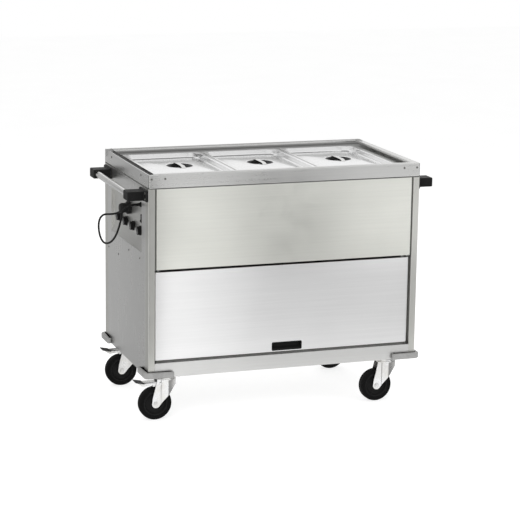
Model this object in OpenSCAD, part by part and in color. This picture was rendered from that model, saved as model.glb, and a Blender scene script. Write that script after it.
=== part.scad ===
// Heated serving trolley: three covered wells over a cupboard with a rising door.
// +X runs along the length, +Y to the back, +Z up; the origin is on the floor, centred.

/* [Body] */
// Space between an outer lid and the body's end
end_space = 54.5; // [52:0.5:80]
// Space between a lid and the body's front or back
side_space = 55; // [52:0.5:80]
// Height of the rim's top face above the floor
rim_top = 970; // [940:5:1040]
// Thickness of the folded steel sheet
sheet = 2; // [1.5:0.5:2.5]
// Width of a corner post, seen from the front
post_w = 25; // [22:1:30]
// Width of a corner post, seen from the side
post_side = 45; // [40:1:60]
// Wall of a corner post and of a bottom rail
tube_wall = 2; // [1.5:0.5:3]
// Height of the bottom rails
rail_h = 57; // [45:1:70]
// Thickness of the bottom rails
rail_t = 25; // [20:1:27]
// Thickness of the base plate that carries the castors
base_t = 3; // [2:0.5:5]

/* [Rim and worktop] */
// Height of the rim's outer face
rim_h = 54; // [48:1:60]
// Width of the rim's top face
rim_w = 25; // [20:1:28]
// Depth of the rim's inner lip, below the top face
rim_lip = 9; // [6:1:12]
// Length of each leg of a rim corner piece
corner_leg = 50; // [40:1:70]
// Depth of the worktop's face below the rim's top
deck_drop = 20; // [17:1:24]
// Head diameter of the rim screws
rim_screw_d = 8; // [6:0.5:10]
// Distance of the outer rim screws from the body's corner
rim_screw_out = 12; // [8:1:20]
// Distance of the inner rim screws from the body's corner
rim_screw_in = 65; // [58:1:80]
// Inner radius of the folds
fold_r = 1.5; // [1:0.5:3]
// Distance of the side rim screws from the body's corner
rim_screw_side = 105; // [80:1:140]

/* [Wells] */
// Space between two neighbouring lids
lid_space = 8; // [4:0.5:14]
// Lap of a lid over the worktop at each end of its width
lid_lap = 10; // [9:0.5:14]
// Lap of a lid over the worktop at its front and back
lid_lap_side = 12; // [9:0.5:16]
// Corner radius of a well's mouth
well_r = 42; // [30:1:55]
// Depth of a well below the worktop's face
well_depth = 180; // [120:5:200]
// Width of a well's flange below the worktop
well_flange = 9; // [6:1:11]
// Thickness of the heating plate below a well
heater_t = 6; // [4:1:10]

/* [Lids] */
// Outer size of a lid along X
lid_l = 325; // [322:1:327]
// Outer size of a lid along Y
lid_w = 530; // [522:1:535]
// Sheet thickness of a lid
lid_t = 1.2; // [1:0.1:1.6]
// Corner radius of a lid's flange
lid_r = 18; // [10:1:30]
// Gap between a lid's skirt and its well, all round
lid_gap = 1.2; // [0.8:0.1:2]
// Depth of a lid's skirt below its flange
lid_sink = 20; // [15:1:24]
// Rise of a lid's middle above its edge
lid_crown = 13; // [6:1:15]
// Diameter of the finger dish in the middle of a lid
dish_d = 107; // [90:1:115]
// Depth of the finger dish
dish_depth = 12; // [8:1:15]
// Width of the strap handle across the dish
strap_w = 20; // [14:1:26]
// Thickness of the strap handle
strap_t = 2; // [1.5:0.5:3]
// Rise of the strap above the lid
strap_rise = 7; // [5:1:9]

/* [Front] */
// Height of the door
door_h = 346; // [300:2:356]
// Thickness of the door
door_t = 20; // [16:1:22]
// How far the door's face lies behind the posts
door_recess = 14; // [13:1:16]
// Gap between the door and each post
door_gap = 6; // [4:0.5:8]
// Gap between the door and the bottom rail
sill_gap = 6.5; // [4:0.5:10]
// Height of the gap between the door and the panel above it
panel_gap = 11.5; // [8:0.5:16]
// Gap between the upper front panel and each post
panel_side_gap = 7; // [5:0.5:9]
// Width of the door pull
pull_w = 124; // [100:2:150]
// Height of the door pull
pull_h = 34; // [30:1:40]
// Width of the pull's finger opening's border
pull_border = 4; // [3:0.5:6]
// Distance of the pull from the middle of the door
pull_x = 14; // [0:1:60]
// Distance of the pull above the door's bottom edge
pull_up = 5; // [4:0.5:10]

/* [Cupboard] */
// Height of the shelf above the cupboard's floor
shelf_up = 190; // [120:5:250]

/* [Controls] */
// Length of the recessed control panel along Y
fascia_l = 450; // [420:5:500]
// Height of the control panel's lower edge above the floor
fascia_z0 = 655; // [630:5:670]
// Height of the control panel's upper edge above the floor
fascia_z1 = 864; // [858:1:864]
// Depth of the control panel behind the side panel
fascia_depth = 12; // [9:1:15]
// Spacing of the four knobs
knob_pitch = 100; // [80:1:104]
// Position of the first knob along Y
knob_y = -174; // [-178:1:-165]
// Height of the knobs above the floor
knob_z = 730; // [722:1:734]
// Diameter of a knob's skirt
knob_d = 38; // [30:1:44]
// Length of a knob, from its skirt to its grip
knob_l = 19; // [15:1:22]
// Diameter of a knob's shaft
shaft_d = 6; // [5:0.5:8]
// Diameter of the parked plug's body
plug_d = 39; // [36:0.5:42]
// Diameter of the mains cord
cord_d = 8; // [6.5:0.5:9]

/* [Push handles] */
// Diameter of a handle tube
handle_d = 25; // [20:1:30]
// Distance of the tube's axis from the body's side
handle_out = 54; // [46:1:60]
// Height of the tube's axis above the floor
handle_z = 884; // [882:1:886]
// Length of a handle tube
handle_l = 560; // [540:5:566]
// Width of a bracket's arm along Y
bracket_w = 64; // [50:2:70]
// Distance of a bracket's foot from the body's front or back
bracket_inset = 8; // [4:1:14]
// Wall of a bracket round its tube
bracket_wall = 5.5; // [4.5:0.5:6]

/* [Castors and bumpers] */
// Overall height of a castor
castor_h = 183; // [180:1:190]
// Diameter of a wheel
wheel_d = 130; // [120:1:134]
// Width of a wheel's tyre
wheel_w = 34; // [28:1:36]
// Distance from a castor's swivel axis to its wheel's axis
trail = 46; // [40:1:50]
// Distance of the swivel axes from the body's ends
castor_in_x = 91; // [84:1:120]
// Distance of the swivel axes from the body's front and back
castor_in_y = 70; // [68:1:100]
// Thickness of a fork's legs
leg_t = 3; // [2.5:0.5:4]
// Diameter of a wheel's axle
axle_d = 10; // [8:1:12]
// Diameter of a swivel's king pin
king_d = 12; // [10:1:14]
// Diameter of a brake pedal's pin
pedal_pin_d = 8; // [6:0.5:9]
// How far the corner bumpers stand out
bumper_out = 18; // [14:1:24]
// Height of a corner bumper
bumper_h = 23; // [18:1:28]
// Length of a bumper's arm along the body
bumper_arm = 100; // [80:2:130]

/* [Hidden] */
$fn = 48;

// Running clearance of a shaft in its bore, on the radius
run = 0.05;
// Play between pieces that slide past each other
play = 0.5;

// Levels of the body
well_pitch = lid_l + lid_space;
well_l = lid_l - 2 * lid_lap;
well_w = lid_w - 2 * lid_lap_side;
half_l = well_pitch + lid_l / 2 + end_space;
half_d = lid_w / 2 + side_space;
base_z = castor_h;
rail_z1 = base_z + rail_h;
rim_z0 = rim_top - rim_h;
deck_z = rim_top - deck_drop;
post_in = half_l - post_w;

// Door, its guides and the panel above it
door_z0 = rail_z1 + sill_gap;
door_z1 = door_z0 + door_h;
door_half = post_in - door_gap;
door_y0 = -half_d + door_recess;
door_y1 = door_y0 + door_t;
skin = 1;
front_z0 = door_z1 + panel_gap;
guide_y0 = door_y1 + 2;
guide_depth = 22;
guide_w = 28;
guide_wall = 2.5;
guide_slot = 10;
guide_z0 = rail_z1;
guide_z1 = rim_z0 - 6;
runner_h = 40;
runner_in = 30;
runner_slack = 2;
guide_x = post_in - guide_w / 2;
door_travel = rim_z0 - door_z1 - 23.5;

// Cupboard behind the door
wall_space = 7;
inner_x = guide_x - guide_w / 2 - wall_space;
box_y0 = guide_y0 + guide_depth + 4;
box_y1 = half_d - 24;
floor_z = rail_z1;
ceiling_z = door_z1 - 0.5;
shelf_z = floor_z + shelf_up;
peg_d = 8;

// Wells and lids
heater_in = 20;
well_x = [-well_pitch, 0, well_pitch];
lid_top_z = deck_z + lid_t;
lid_edge_z = lid_top_z - lid_sink;
dish_z = lid_edge_z + lid_crown;
dish_r = dish_d / 2;
dish_wall = 14;
lid_fillet = 5;
lid_bend = 2;
skirt_hl = well_l / 2 - lid_gap - lid_t;
skirt_hw = well_w / 2 - lid_gap - lid_t;
skirt_r = well_r - lid_gap - lid_t;
loop_steps = 5;

// Control panel
fascia_x = -half_l + fascia_depth;
slope_h = 30;
neck_d = 10;
neck_l = 2;
thermostat_h = 34;
thermostat_l = 28;
bore_l = 17;
skirt_t = 4;
plug_y = -15;
plug_z = 790;
plug_l = 36;
holder_d = 50;
holder_t = 14;
holder_cup = 8;
plug_x = fascia_x - holder_t + holder_cup - 0.3;
plug_pin_d = 4.8;
plug_pin_l = 19;
neck_x = plug_x - plug_l + 12;
neck_reach = 48;
neck_drop = 30;
gland_y = -174;
gland_z = 831;
gland_base_t = 4;
gland_nose_l = 22;
switch_y = -192;
switch_z = 778;
switch_w = 28;
switch_h = 34;
switch_border = 4;
switch_inset = 1.6;
rocker_w = switch_w - 2 * switch_border - 2 * play;
rocker_r = switch_h / 2 - switch_border - play;
rocker_tilt = 8;
rocker_pin_d = 3;

// Castors: heights above the floor
axle_z = wheel_d / 2;
plate_t = 6;
plate_x = 105;
plate_y = 85;
plate_r = 8;
crown_z0 = base_z - 23;
crown_t = 5;
crown_d = 72;
race_d = 58;
seat_gap = 0.3;
race_h = base_z - plate_t - crown_z0 - crown_t - seat_gap;
cup_wall = 4;
fork_gap = wheel_w + 4;
leg_y = fork_gap / 2;
lobe_r = 16;
crease_x = 0;
fork_nose = 36;
nose_half = 12;
pedal_x = -28;
pedal_z = crown_z0 - 14;
castor_x = half_l - castor_in_x;
castor_y = half_d - castor_in_y;

// Push handles
handle_x = half_l + handle_out;
boss_r = handle_d / 2 + bracket_wall;
foot_t = 8;
foot_h = 44;
foot_w = 100;
foot_y1 = half_d - bracket_inset;
arm_y1 = foot_y1 - 26;
arm_y0 = arm_y1 - bracket_w;

// Route of the mains cord, from the gland to the plug's neck
cord_start = [fascia_x - gland_base_t - gland_nose_l, gland_y, gland_z];
cord_end = [neck_x, plug_y + neck_reach * cos(neck_drop), plug_z - neck_reach * sin(neck_drop)];
cord_route = [
    [-577.5, -170.8, 828.8], [-589, -166.4, 823.9], [-598.8, -159.9, 815.5], [-604.7, -152.2, 804.4],
    [-606, -143, 790.3], [-603, -128, 773], [-603, -104, 744], [-602.5, -76, 716],
    [-602, -44, 690], [-602, -8, 667], [-603, 33, 647], [-605, 77, 633],
    [-608, 119, 628], [-610, 158, 637], [-611, 184, 661], [-611, 187, 693],
    [-608, 168, 720], [-601, 136, 737], [-591, 98, 745], [-579, 62, 753]];

steel = [0.78, 0.78, 0.76];
bright = [0.86, 0.86, 0.85];
zinc = [0.83, 0.84, 0.85];
black = [0.09, 0.09, 0.09];
grey = [0.60, 0.60, 0.60];

// ---- Shared shapes ----

// Rounded rectangle, centred
module rounded(l, w, r) {
    square([l - 2 * r, w], center = true);
    square([l, w - 2 * r], center = true);
    for (sx = [-1, 1], sy = [-1, 1])
        translate([sx * (l / 2 - r), sy * (w / 2 - r)]) circle(r = r);
}

// Box between two corners
module span(a, b) {
    translate(a) cube(b - a);
}

// Copy at each side of the YZ plane
module both_x() {
    for (side = [0, 1]) mirror([side, 0, 0]) children();
}

// Copy at each side of the XZ plane
module both_y() {
    for (side = [0, 1]) mirror([0, side, 0]) children();
}

// Copy at all four corners of the body
module four_corners() {
    both_x() both_y() children();
}

// Bar along X with a Y,Z outline: the outline's x is +Y
module bar_x(x0, x1) {
    translate([x0, 0, 0]) rotate([90, 0, 90]) linear_extrude(x1 - x0) children();
}

// Plate across Y with an X,Z outline
module plate_xz(y0, y1) {
    translate([0, y1, 0]) rotate([90, 0, 0]) linear_extrude(y1 - y0) children();
}

// Rod along Y
module rod_y(x, z, d, y0, y1) {
    translate([x, y0, z]) rotate([-90, 0, 0]) cylinder(d = d, h = y1 - y0);
}

// Rod along -X, from x0 outwards
module rod_out(x0, y, z, d, l) {
    translate([x0, y, z]) rotate([0, -90, 0]) cylinder(d = d, h = l);
}

// ---- Frame ----

module corner_posts() color(steel) four_corners() difference() {
    span([post_in, half_d - post_side, base_z], [half_l, half_d, rim_z0]);
    span([post_in + tube_wall, half_d - post_side + tube_wall, base_z - 1],
         [half_l - tube_wall, half_d - tube_wall, rim_z0 - tube_wall]);
}

module bottom_rails() color(steel) {
    both_y() difference() {
        span([-post_in, half_d - rail_t, base_z], [post_in, half_d, rail_z1]);
        span([-post_in - 1, half_d - rail_t + tube_wall, base_z + tube_wall],
             [post_in + 1, half_d - tube_wall, rail_z1 - tube_wall]);
    }
    both_x() difference() {
        span([half_l - sheet - rail_t, -half_d + post_side, base_z],
             [half_l - sheet, half_d - post_side, rail_z1]);
        span([half_l - sheet - rail_t + tube_wall, -half_d + post_side - 1, base_z + tube_wall],
             [half_l - sheet - tube_wall, half_d - post_side + 1, rail_z1 - tube_wall]);
    }
}

module base_plate() color(steel)
    span([-half_l + sheet + rail_t, -half_d + rail_t, base_z],
         [half_l - sheet - rail_t, half_d - rail_t, base_z + base_t]);

// L-shaped buffer round the foot of a post, with round ends
module bumper_outline() {
    end_r = bumper_out / 2;
    nose_r = bumper_out + 4;
    difference() {
        union() {
            translate([-bumper_arm + end_r, 0]) square([bumper_arm - end_r - 4, bumper_out]);
            translate([-bumper_arm + end_r, end_r]) circle(r = end_r);
            translate([0, -bumper_arm + end_r]) square([bumper_out, bumper_arm - end_r - 4]);
            translate([end_r, -bumper_arm + end_r]) circle(r = end_r);
            translate([-4, -4]) circle(r = nose_r);
        }
        translate([-bumper_arm, -bumper_arm]) square(bumper_arm);
    }
}

module corner_bumpers() color(grey) four_corners()
    translate([half_l, half_d, base_z + 1]) linear_extrude(bumper_h) bumper_outline();

// ---- Rim and worktop ----

// Folded rail: u runs inwards from the outer face, v upwards from the rim's foot
module rim_outline() difference() {
    mid = [rim_w / 2, rim_h / 2];
    union() {
        translate(mid) rounded(rim_w, rim_h, fold_r + sheet);
        translate([rim_w / 2, 0]) square([rim_w / 2, sheet]);
    }
    translate(mid) rounded(rim_w - 2 * sheet, rim_h - 2 * sheet, fold_r);
    translate([rim_w / 2, sheet]) square([rim_w / 2 + 1, rim_h - rim_lip - sheet]);
}

module rim_long() color(bright) translate([0, -half_d, rim_z0])
    bar_x(-half_l + corner_leg, half_l - corner_leg) rim_outline();

module rim_short() color(bright) translate([-half_l, 0, rim_z0])
    plate_xz(-half_d + corner_leg, half_d - corner_leg) rim_outline();

module rim_front() rim_long();
module rim_rear() mirror([0, 1, 0]) rim_long();
module rim_left() rim_short();
module rim_right() mirror([1, 0, 0]) rim_short();

// One leg of a corner piece: a length of rail along -X, cut at 45 degrees
module mitred_leg() difference() {
    far = rim_w + 2;
    bar_x(-corner_leg, 0) mirror([1, 0]) rim_outline();
    translate([0, 0, -1]) linear_extrude(rim_h + 2) polygon([[1, 1], [-far, -far], [1, -far]]);
}

module rim_corners() color(bright) four_corners() translate([half_l, half_d, rim_z0]) {
    mitred_leg();
    mirror([1, -1, 0]) mitred_leg();
}

// Flat domed screw head, standing up from the XY plane
module screw_head(d) {
    cylinder(d = d, h = 0.25 * d - 0.8);
    translate([0, 0, 0.25 * d - 0.8]) cylinder(d1 = d, d2 = 0.6 * d, h = 0.8);
}

module rim_screws() color(grey) {
    screw_z = deck_z + 2;
    both_x() both_y() {
        for (inset = [rim_screw_out, rim_screw_in])
            translate([half_l - inset, half_d, screw_z]) rotate([-90, 0, 0]) screw_head(rim_screw_d);
        translate([half_l, half_d - rim_screw_side, screw_z]) rotate([0, 90, 0])
            screw_head(rim_screw_d);
    }
}

module worktop() color(bright) difference() {
    inset = sheet + play;
    union() {
        span([-half_l + inset, -half_d + inset, deck_z - sheet],
             [half_l - inset, half_d - inset, deck_z]);
        difference() {
            span([-half_l + inset, -half_d + inset, rim_z0 + sheet + fold_r],
                 [half_l - inset, half_d - inset, deck_z]);
            span([-half_l + inset + sheet, -half_d + inset + sheet, rim_z0],
                 [half_l - inset - sheet, half_d - inset - sheet, deck_z - sheet]);
        }
    }
    for (x = well_x) translate([x, 0, deck_z - 2 * sheet]) linear_extrude(3 * sheet)
        rounded(well_l, well_w, well_r);
}

// Drawn basin that hangs below the worktop by its flange
module well(x) color(bright) translate([x, 0, deck_z - sheet]) difference() {
    union() {
        translate([0, 0, -sheet]) linear_extrude(sheet)
            rounded(well_l + 2 * well_flange, well_w + 2 * well_flange, well_r);
        translate([0, 0, -well_depth]) linear_extrude(well_depth)
            rounded(well_l + 2 * sheet, well_w + 2 * sheet, well_r + sheet);
    }
    translate([0, 0, sheet - well_depth]) linear_extrude(well_depth) rounded(well_l, well_w, well_r);
}

module well_left() well(well_x[0]);
module well_centre() well(well_x[1]);
module well_right() well(well_x[2]);

module well_heaters() color(grey) for (x = well_x)
    translate([x, 0, deck_z - sheet - well_depth - heater_t]) linear_extrude(heater_t)
        rounded(well_l - 2 * heater_in, well_w - 2 * heater_in, well_r - heater_in / 2);

// ---- Lids ----

// Points of a rounded rectangle at one height: half sizes, corner radius, height
function loop(hl, hw, r, z) = [for (c = [0:3], k = [0:loop_steps])
    let (a = 90 * (c + k / loop_steps), sx = (c == 0 || c == 3) ? 1 : -1, sy = c < 2 ? 1 : -1)
    [sx * (hl - r) + r * cos(a), sy * (hw - r) + r * sin(a), z]];

// Loop at a distance inside the skirt's inner face
function skirt_loop(inset, z) = loop(skirt_hl - inset, skirt_hw - inset, skirt_r - inset, z);

// Loop on the crown: t goes from 0 at the foot of the skirt to 1 at the dish
function crown_loop(t, drop) = let (in = lid_fillet, rise = sin(90 * t))
    loop((1 - t) * (skirt_hl - in) + t * dish_r, (1 - t) * (skirt_hw - in) + t * dish_r,
         (1 - t) * (skirt_r - in) + t * dish_r, lid_edge_z + lid_crown * rise - drop);

// Loop of the dish: a circle whose radius and depth follow a smooth step
function dish_loop(t, drop) = let (r = dish_r - dish_wall * t)
    loop(r, r, r, dish_z - dish_depth * (1 - cos(180 * t)) / 2 - drop);

// Upper face of a lid from the dish's floor to the flange's edge; the lower face lies a sheet below
function lid_face(drop) = concat(
    [for (i = [4:-1:1]) dish_loop(i / 4, drop)],
    [for (i = [5:-1:0]) crown_loop(i / 5, drop)],
    [for (i = [1:3]) let (a = 30 * i)
        skirt_loop(lid_fillet * (1 - sin(a)) - drop * sin(a),
                   lid_edge_z + lid_fillet * (1 - cos(a)) - drop * cos(a))],
    [for (i = [0:3]) let (a = 30 * i)
        skirt_loop(-lid_bend * (1 - cos(a)) - drop * cos(a),
                   lid_top_z - lid_bend * (1 - sin(a)) - drop * sin(a))],
    [loop(lid_l / 2, lid_w / 2, lid_r, lid_top_z - drop)]);

module lid_shell() {
    under = lid_face(lid_t);
    loops = concat(lid_face(0), [for (i = [len(under) - 1:-1:0]) under[i]]);
    rows = len(loops);
    n = len(loops[0]);
    walls = [for (i = [0:rows - 2], k = [0:n - 1])
        let (a = i * n + k, b = i * n + (k + 1) % n)
        each [[a, b, a + n], [b, b + n, a + n]]];
    caps = [[for (k = [n - 1:-1:0]) k], [for (k = [0:n - 1]) (rows - 1) * n + k]];
    polyhedron(points = [for (l = loops) each l], faces = concat(walls, caps), convexity = 8);
}

// Strap handle across the dish: a bowed strip with two flat feet
module strap() {
    reach = dish_r + 2;
    foot = 10;
    bow = 14;
    bar_x(-strap_w / 2, strap_w / 2)
        polygon([[-reach - foot, 0], [-reach, 0], [-reach + bow, strap_rise],
                 [reach - bow, strap_rise], [reach, 0], [reach + foot, 0],
                 [reach + foot, strap_t], [reach - 0.4, strap_t],
                 [reach - bow - 0.4, strap_rise + strap_t], [-reach + bow + 0.4, strap_rise + strap_t],
                 [-reach + 0.4, strap_t], [-reach - foot, strap_t]]);
}

module lid(x) translate([x, 0, 0]) {
    color(bright) lid_shell();
    color(steel) translate([0, 0, dish_z - 1]) strap();
}

module lid_left() lid(well_x[0]);
module lid_centre() lid(well_x[1]);
module lid_right() lid(well_x[2]);

// ---- Outer panels ----

module upper_front_panel() color(steel) {
    side = post_in - panel_side_gap;
    y0 = -half_d;
    fold = 10;
    tab_h = 20;
    difference() {
        span([-side, y0, front_z0], [side, y0 + fold, rim_z0]);
        span([-side + sheet, y0 + sheet, front_z0 + sheet], [side - sheet, y0 + fold + 1, rim_z0 - sheet]);
    }
    span([-side, y0, rim_z0 - sheet], [side, y0 + rim_w - 3, rim_z0]);
    both_x() for (z = [front_z0 + 40, rim_z0 - 60])
        span([side - sheet, y0 + fold - sheet, z], [post_in, y0 + fold, z + tab_h]);
}

module rear_panel() color(steel)
    span([-post_in, half_d - sheet, rail_z1], [post_in, half_d, rim_z0]);

module side_panel_left() color(steel) difference() {
    span([-half_l, -half_d + post_side, base_z], [-half_l + sheet, half_d - post_side, rim_z0]);
    span([-half_l - 1, -fascia_l / 2, fascia_z0], [-half_l + sheet + 1, fascia_l / 2, fascia_z1]);
}

module side_panel_right() color(steel)
    span([half_l - sheet, -half_d + post_side, base_z], [half_l, half_d - post_side, rim_z0]);

module panel_screws() color(grey) {
    screw_d = 7;
    staggered = [[262, 579], [113, 579], [-41, 628], [-199, 628]];
    for (p = staggered) both_x() translate([half_l, p[0], p[1]]) rotate([0, 90, 0]) screw_head(screw_d);
    for (x = [-0.9, -0.3, 0.3, 0.9], z = [rail_z1 + 25, rim_z0 - 25])
        translate([x * post_in, half_d, z]) rotate([-90, 0, 0]) screw_head(screw_d);
}

// ---- Controls on the left side ----

function knob_place(i) = knob_y + i * knob_pitch;

module control_fascia() color(steel) difference() {
    wall = sheet;
    half = fascia_l / 2;
    x0 = -half_l + sheet;
    span([x0, -half - wall, fascia_z0 - wall], [fascia_x + wall, half + wall, fascia_z1 + wall]);
    plate_xz(-half, half)
        polygon([[x0 - 1, fascia_z0], [x0, fascia_z0], [fascia_x, fascia_z0 + slope_h],
                 [fascia_x, fascia_z1], [x0 - 1, fascia_z1]]);
    for (i = [0:3])
        rod_out(fascia_x + wall + 1, knob_place(i), knob_z, neck_d + 0.4, wall + 2);
    rod_out(fascia_x + wall + 1, plug_y, plug_z, plug_d + 4, wall + 2);
    span([fascia_x - 1, switch_y - switch_w / 2 + switch_inset, switch_z - switch_h / 2 + switch_inset],
         [fascia_x + wall + 1, switch_y + switch_w / 2 - switch_inset, switch_z + switch_h / 2 - switch_inset]);
}

module thermostats() color(black) for (i = [0:3]) {
    back = fascia_x + sheet;
    difference() {
        union() {
            span([back, knob_place(i) - thermostat_h / 2, knob_z - thermostat_h / 2],
                 [back + thermostat_l, knob_place(i) + thermostat_h / 2, knob_z + thermostat_h / 2]);
            rod_out(back + 1, knob_place(i), knob_z, neck_d, sheet + neck_l + 1);
        }
        rod_out(fascia_x - neck_l + bore_l, knob_place(i), knob_z, shaft_d + 2 * run, bore_l + 1);
    }
}

// Knob with a round skirt, a tapered body and a raised grip bar; x is its back face
module knob(i) color(black) {
    back = fascia_x - neck_l - play;
    body_l1 = knob_l - skirt_t - 5;
    rod_out(back + bore_l - 2, knob_place(i), knob_z, shaft_d, bore_l - 1);
    rod_out(back, knob_place(i), knob_z, knob_d, skirt_t);
    translate([back - skirt_t, knob_place(i), knob_z]) rotate([0, -90, 0])
        cylinder(d1 = 0.84 * knob_d, d2 = 0.78 * knob_d, h = body_l1);
    translate([back - skirt_t - body_l1, knob_place(i), knob_z]) rotate([45, 0, 0])
        span([-5, -0.15 * knob_d, -0.39 * knob_d], [0, 0.15 * knob_d, 0.39 * knob_d]);
}

module knob_1() knob(0);
module knob_2() knob(1);
module knob_3() knob(2);
module knob_4() knob(3);

module switch_bezel() color(black) difference() {
    lip = 4;
    body = 20;
    union() {
        span([fascia_x - lip, switch_y - switch_w / 2, switch_z - switch_h / 2],
             [fascia_x, switch_y + switch_w / 2, switch_z + switch_h / 2]);
        span([fascia_x - 1, switch_y - switch_w / 2 + switch_inset, switch_z - switch_h / 2 + switch_inset],
             [fascia_x + body, switch_y + switch_w / 2 - switch_inset, switch_z + switch_h / 2 - switch_inset]);
    }
    span([fascia_x - lip - 1, switch_y - switch_w / 2 + switch_border, switch_z - switch_h / 2 + switch_border],
         [fascia_x + body - 4, switch_y + switch_w / 2 - switch_border,
          switch_z + switch_h / 2 - switch_border]);
    rod_y(fascia_x, switch_z, rocker_pin_d + 2 * run, switch_y - switch_w / 2 + 2.4,
          switch_y + switch_w / 2 - 2.4);
}

// Rocker, tipped to its off position, on its own pin
module switch_rocker() color(black) translate([fascia_x, switch_y, switch_z]) {
    rotate([0, rocker_tilt, 0]) intersection() {
        rod_y(0, 0, 2 * rocker_r, -rocker_w / 2, rocker_w / 2);
        plate_xz(-rocker_w / 2, rocker_w / 2)
            polygon([[4, -rocker_r], [4, rocker_r], [-7.5, rocker_r], [-4.5, 0], [-7.5, -rocker_r]]);
    }
    rod_y(0, 0, rocker_pin_d, -rocker_w / 2 - 1.3, rocker_w / 2 + 1.3);
}

// ---- Mains lead ----

module cord_gland() color(black) translate([fascia_x, gland_y, gland_z]) rotate([0, -90, 0]) {
    cylinder(d = 20, h = gland_base_t);
    translate([0, 0, gland_base_t]) cylinder(d1 = 14, d2 = cord_d + 2, h = gland_nose_l);
}

module plug_holder() color(black) difference() {
    union() {
        rod_out(fascia_x, plug_y, plug_z, holder_d, holder_t);
        rod_out(fascia_x + sheet + 14, plug_y, plug_z, plug_d + 3.6, sheet + 15);
    }
    rod_out(fascia_x - holder_t + holder_cup, plug_y, plug_z, plug_d + 1, holder_cup + 1);
    both_pins(plug_pin_d + 1, plug_pin_l + 2);
}

// Rods on the plug's two pin axes, from its face inwards
module both_pins(d, l) for (s = [-1, 1])
    translate([plug_x, plug_y + s * 9.5, plug_z]) rotate([0, 90, 0]) cylinder(d = d, h = l);

module mains_plug() color(black) {
    rod_out(plug_x, plug_y, plug_z, plug_d, plug_l - 8);
    translate([plug_x - plug_l + 8, plug_y, plug_z]) rotate([0, -90, 0])
        cylinder(d1 = plug_d, d2 = plug_d - 9, h = 8);
    translate([neck_x, plug_y, plug_z]) rotate([-90 - neck_drop, 0, 0])
        translate([0, 0, plug_d / 2 - 5])
            cylinder(d1 = 16, d2 = cord_d + 2, h = neck_reach - plug_d / 2 + 5);
    both_pins(plug_pin_d, plug_pin_l);
}

function unit(v) = v / norm(v);

// Point on the smooth curve through four neighbours, between the middle two
function curve_point(a, b, c, d, t) =
    0.5 * (2 * b + (c - a) * t + (2 * a - 5 * b + 4 * c - d) * t * t
           + (3 * b - a - 3 * c + d) * t * t * t);

// Smooth curve through all the points, with some steps to each stretch
function smooth(points, steps) = let (last = len(points) - 1)
    concat([for (i = [0:last - 1], s = [0:steps - 1])
                curve_point(points[max(i - 1, 0)], points[i], points[i + 1],
                            points[min(i + 2, last)], s / steps)],
           [points[last]]);

// Normals carried along the curve without twist
function carried(tangents, normal, i = 0) = i == len(tangents) ? [] :
    let (n = unit(normal - (normal * tangents[i]) * tangents[i]))
    concat([n], carried(tangents, n, i + 1));

module tube_along(points, first, last, d, sides) {
    count = len(points);
    tangents = [for (i = [0:count - 1])
        i == 0 ? first : i == count - 1 ? last : unit(points[i + 1] - points[i - 1])];
    normals = carried(tangents, [0, 0, 1]);
    verts = [for (i = [0:count - 1], k = [0:sides - 1]) let (a = 360 * k / sides)
        points[i] + d / 2 * (cos(a) * normals[i] + sin(a) * cross(tangents[i], normals[i]))];
    walls = [for (i = [0:count - 2], k = [0:sides - 1])
        let (a = i * sides + k, b = i * sides + (k + 1) % sides)
        each [[a, a + sides, b], [b, a + sides, b + sides]]];
    caps = [for (k = [1:sides - 2]) each [[0, k, k + 1],
        [(count - 1) * sides, (count - 1) * sides + k + 1, (count - 1) * sides + k]]];
    polyhedron(points = verts, faces = concat(walls, caps), convexity = 6);
}

module mains_cord() color(black)
    tube_along(smooth(concat([cord_start], cord_route, [cord_end]), 2),
               [-1, 0, 0], [0, -cos(neck_drop), sin(neck_drop)], cord_d, 8);

// ---- Cupboard ----

module cupboard_floor() color(steel)
    span([-half_l + sheet + rail_t, -half_d + rail_t, floor_z - sheet],
         [half_l - sheet - rail_t, half_d - rail_t, floor_z]);

module cupboard_walls() color(steel) both_x() {
    span([inner_x - sheet, box_y0, floor_z], [inner_x, box_y1, ceiling_z]);
    for (y = [box_y0 + 60, box_y1 - 60]) translate([inner_x - sheet, y, shelf_z - peg_d / 2])
        rotate([0, -90, 0]) cylinder(d = peg_d, h = 12);
}

module cupboard_back() color(steel)
    span([-inner_x, box_y1, floor_z], [inner_x, box_y1 + sheet, ceiling_z + sheet]);

module cupboard_ceiling() color(steel)
    span([-inner_x, box_y0, ceiling_z], [inner_x, box_y1, ceiling_z + sheet]);

module cupboard_shelf() color(steel) {
    side = inner_x - sheet - 2;
    lip = 14;
    span([-side, box_y0 + 8, shelf_z], [side, box_y1 - 4, shelf_z + sheet]);
    span([-side, box_y0 + 8, shelf_z - lip], [side, box_y0 + 8 + sheet, shelf_z]);
}

module cupboard_heater() color(grey) {
    pad_l = 420;
    pad_w = 300;
    pad_t = 8;
    span([-pad_l / 2, -pad_w / 2, floor_z - sheet - pad_t], [pad_l / 2, pad_w / 2, floor_z - sheet]);
}

// ---- Rising door ----

// Channel with inturned lips, open towards the door, and its two end stops
module door_guides() color(grey) both_x() {
    x0 = guide_x - guide_w / 2;
    x1 = guide_x + guide_w / 2;
    y1 = guide_y0 + guide_depth;
    difference() {
        span([x0, guide_y0, guide_z0], [x1, y1, guide_z1]);
        span([x0 + guide_wall, guide_y0 + guide_wall, guide_z0 - 1],
             [x1 - guide_wall, y1 - guide_wall, guide_z1 + 1]);
        span([guide_x - guide_slot / 2, guide_y0 - 1, guide_z0 - 1],
             [guide_x + guide_slot / 2, guide_y0 + guide_wall + 1, guide_z1 + 1]);
    }
    span([x0 + guide_wall, guide_y0 + guide_wall, guide_z0],
         [x1 - guide_wall, y1 - guide_wall, door_z0 + runner_in - 0.3]);
    span([x0 + guide_wall, guide_y0 + guide_wall, door_z1 - runner_in + door_travel + play],
         [x1 - guide_wall, y1 - guide_wall, guide_z1]);
}

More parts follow.
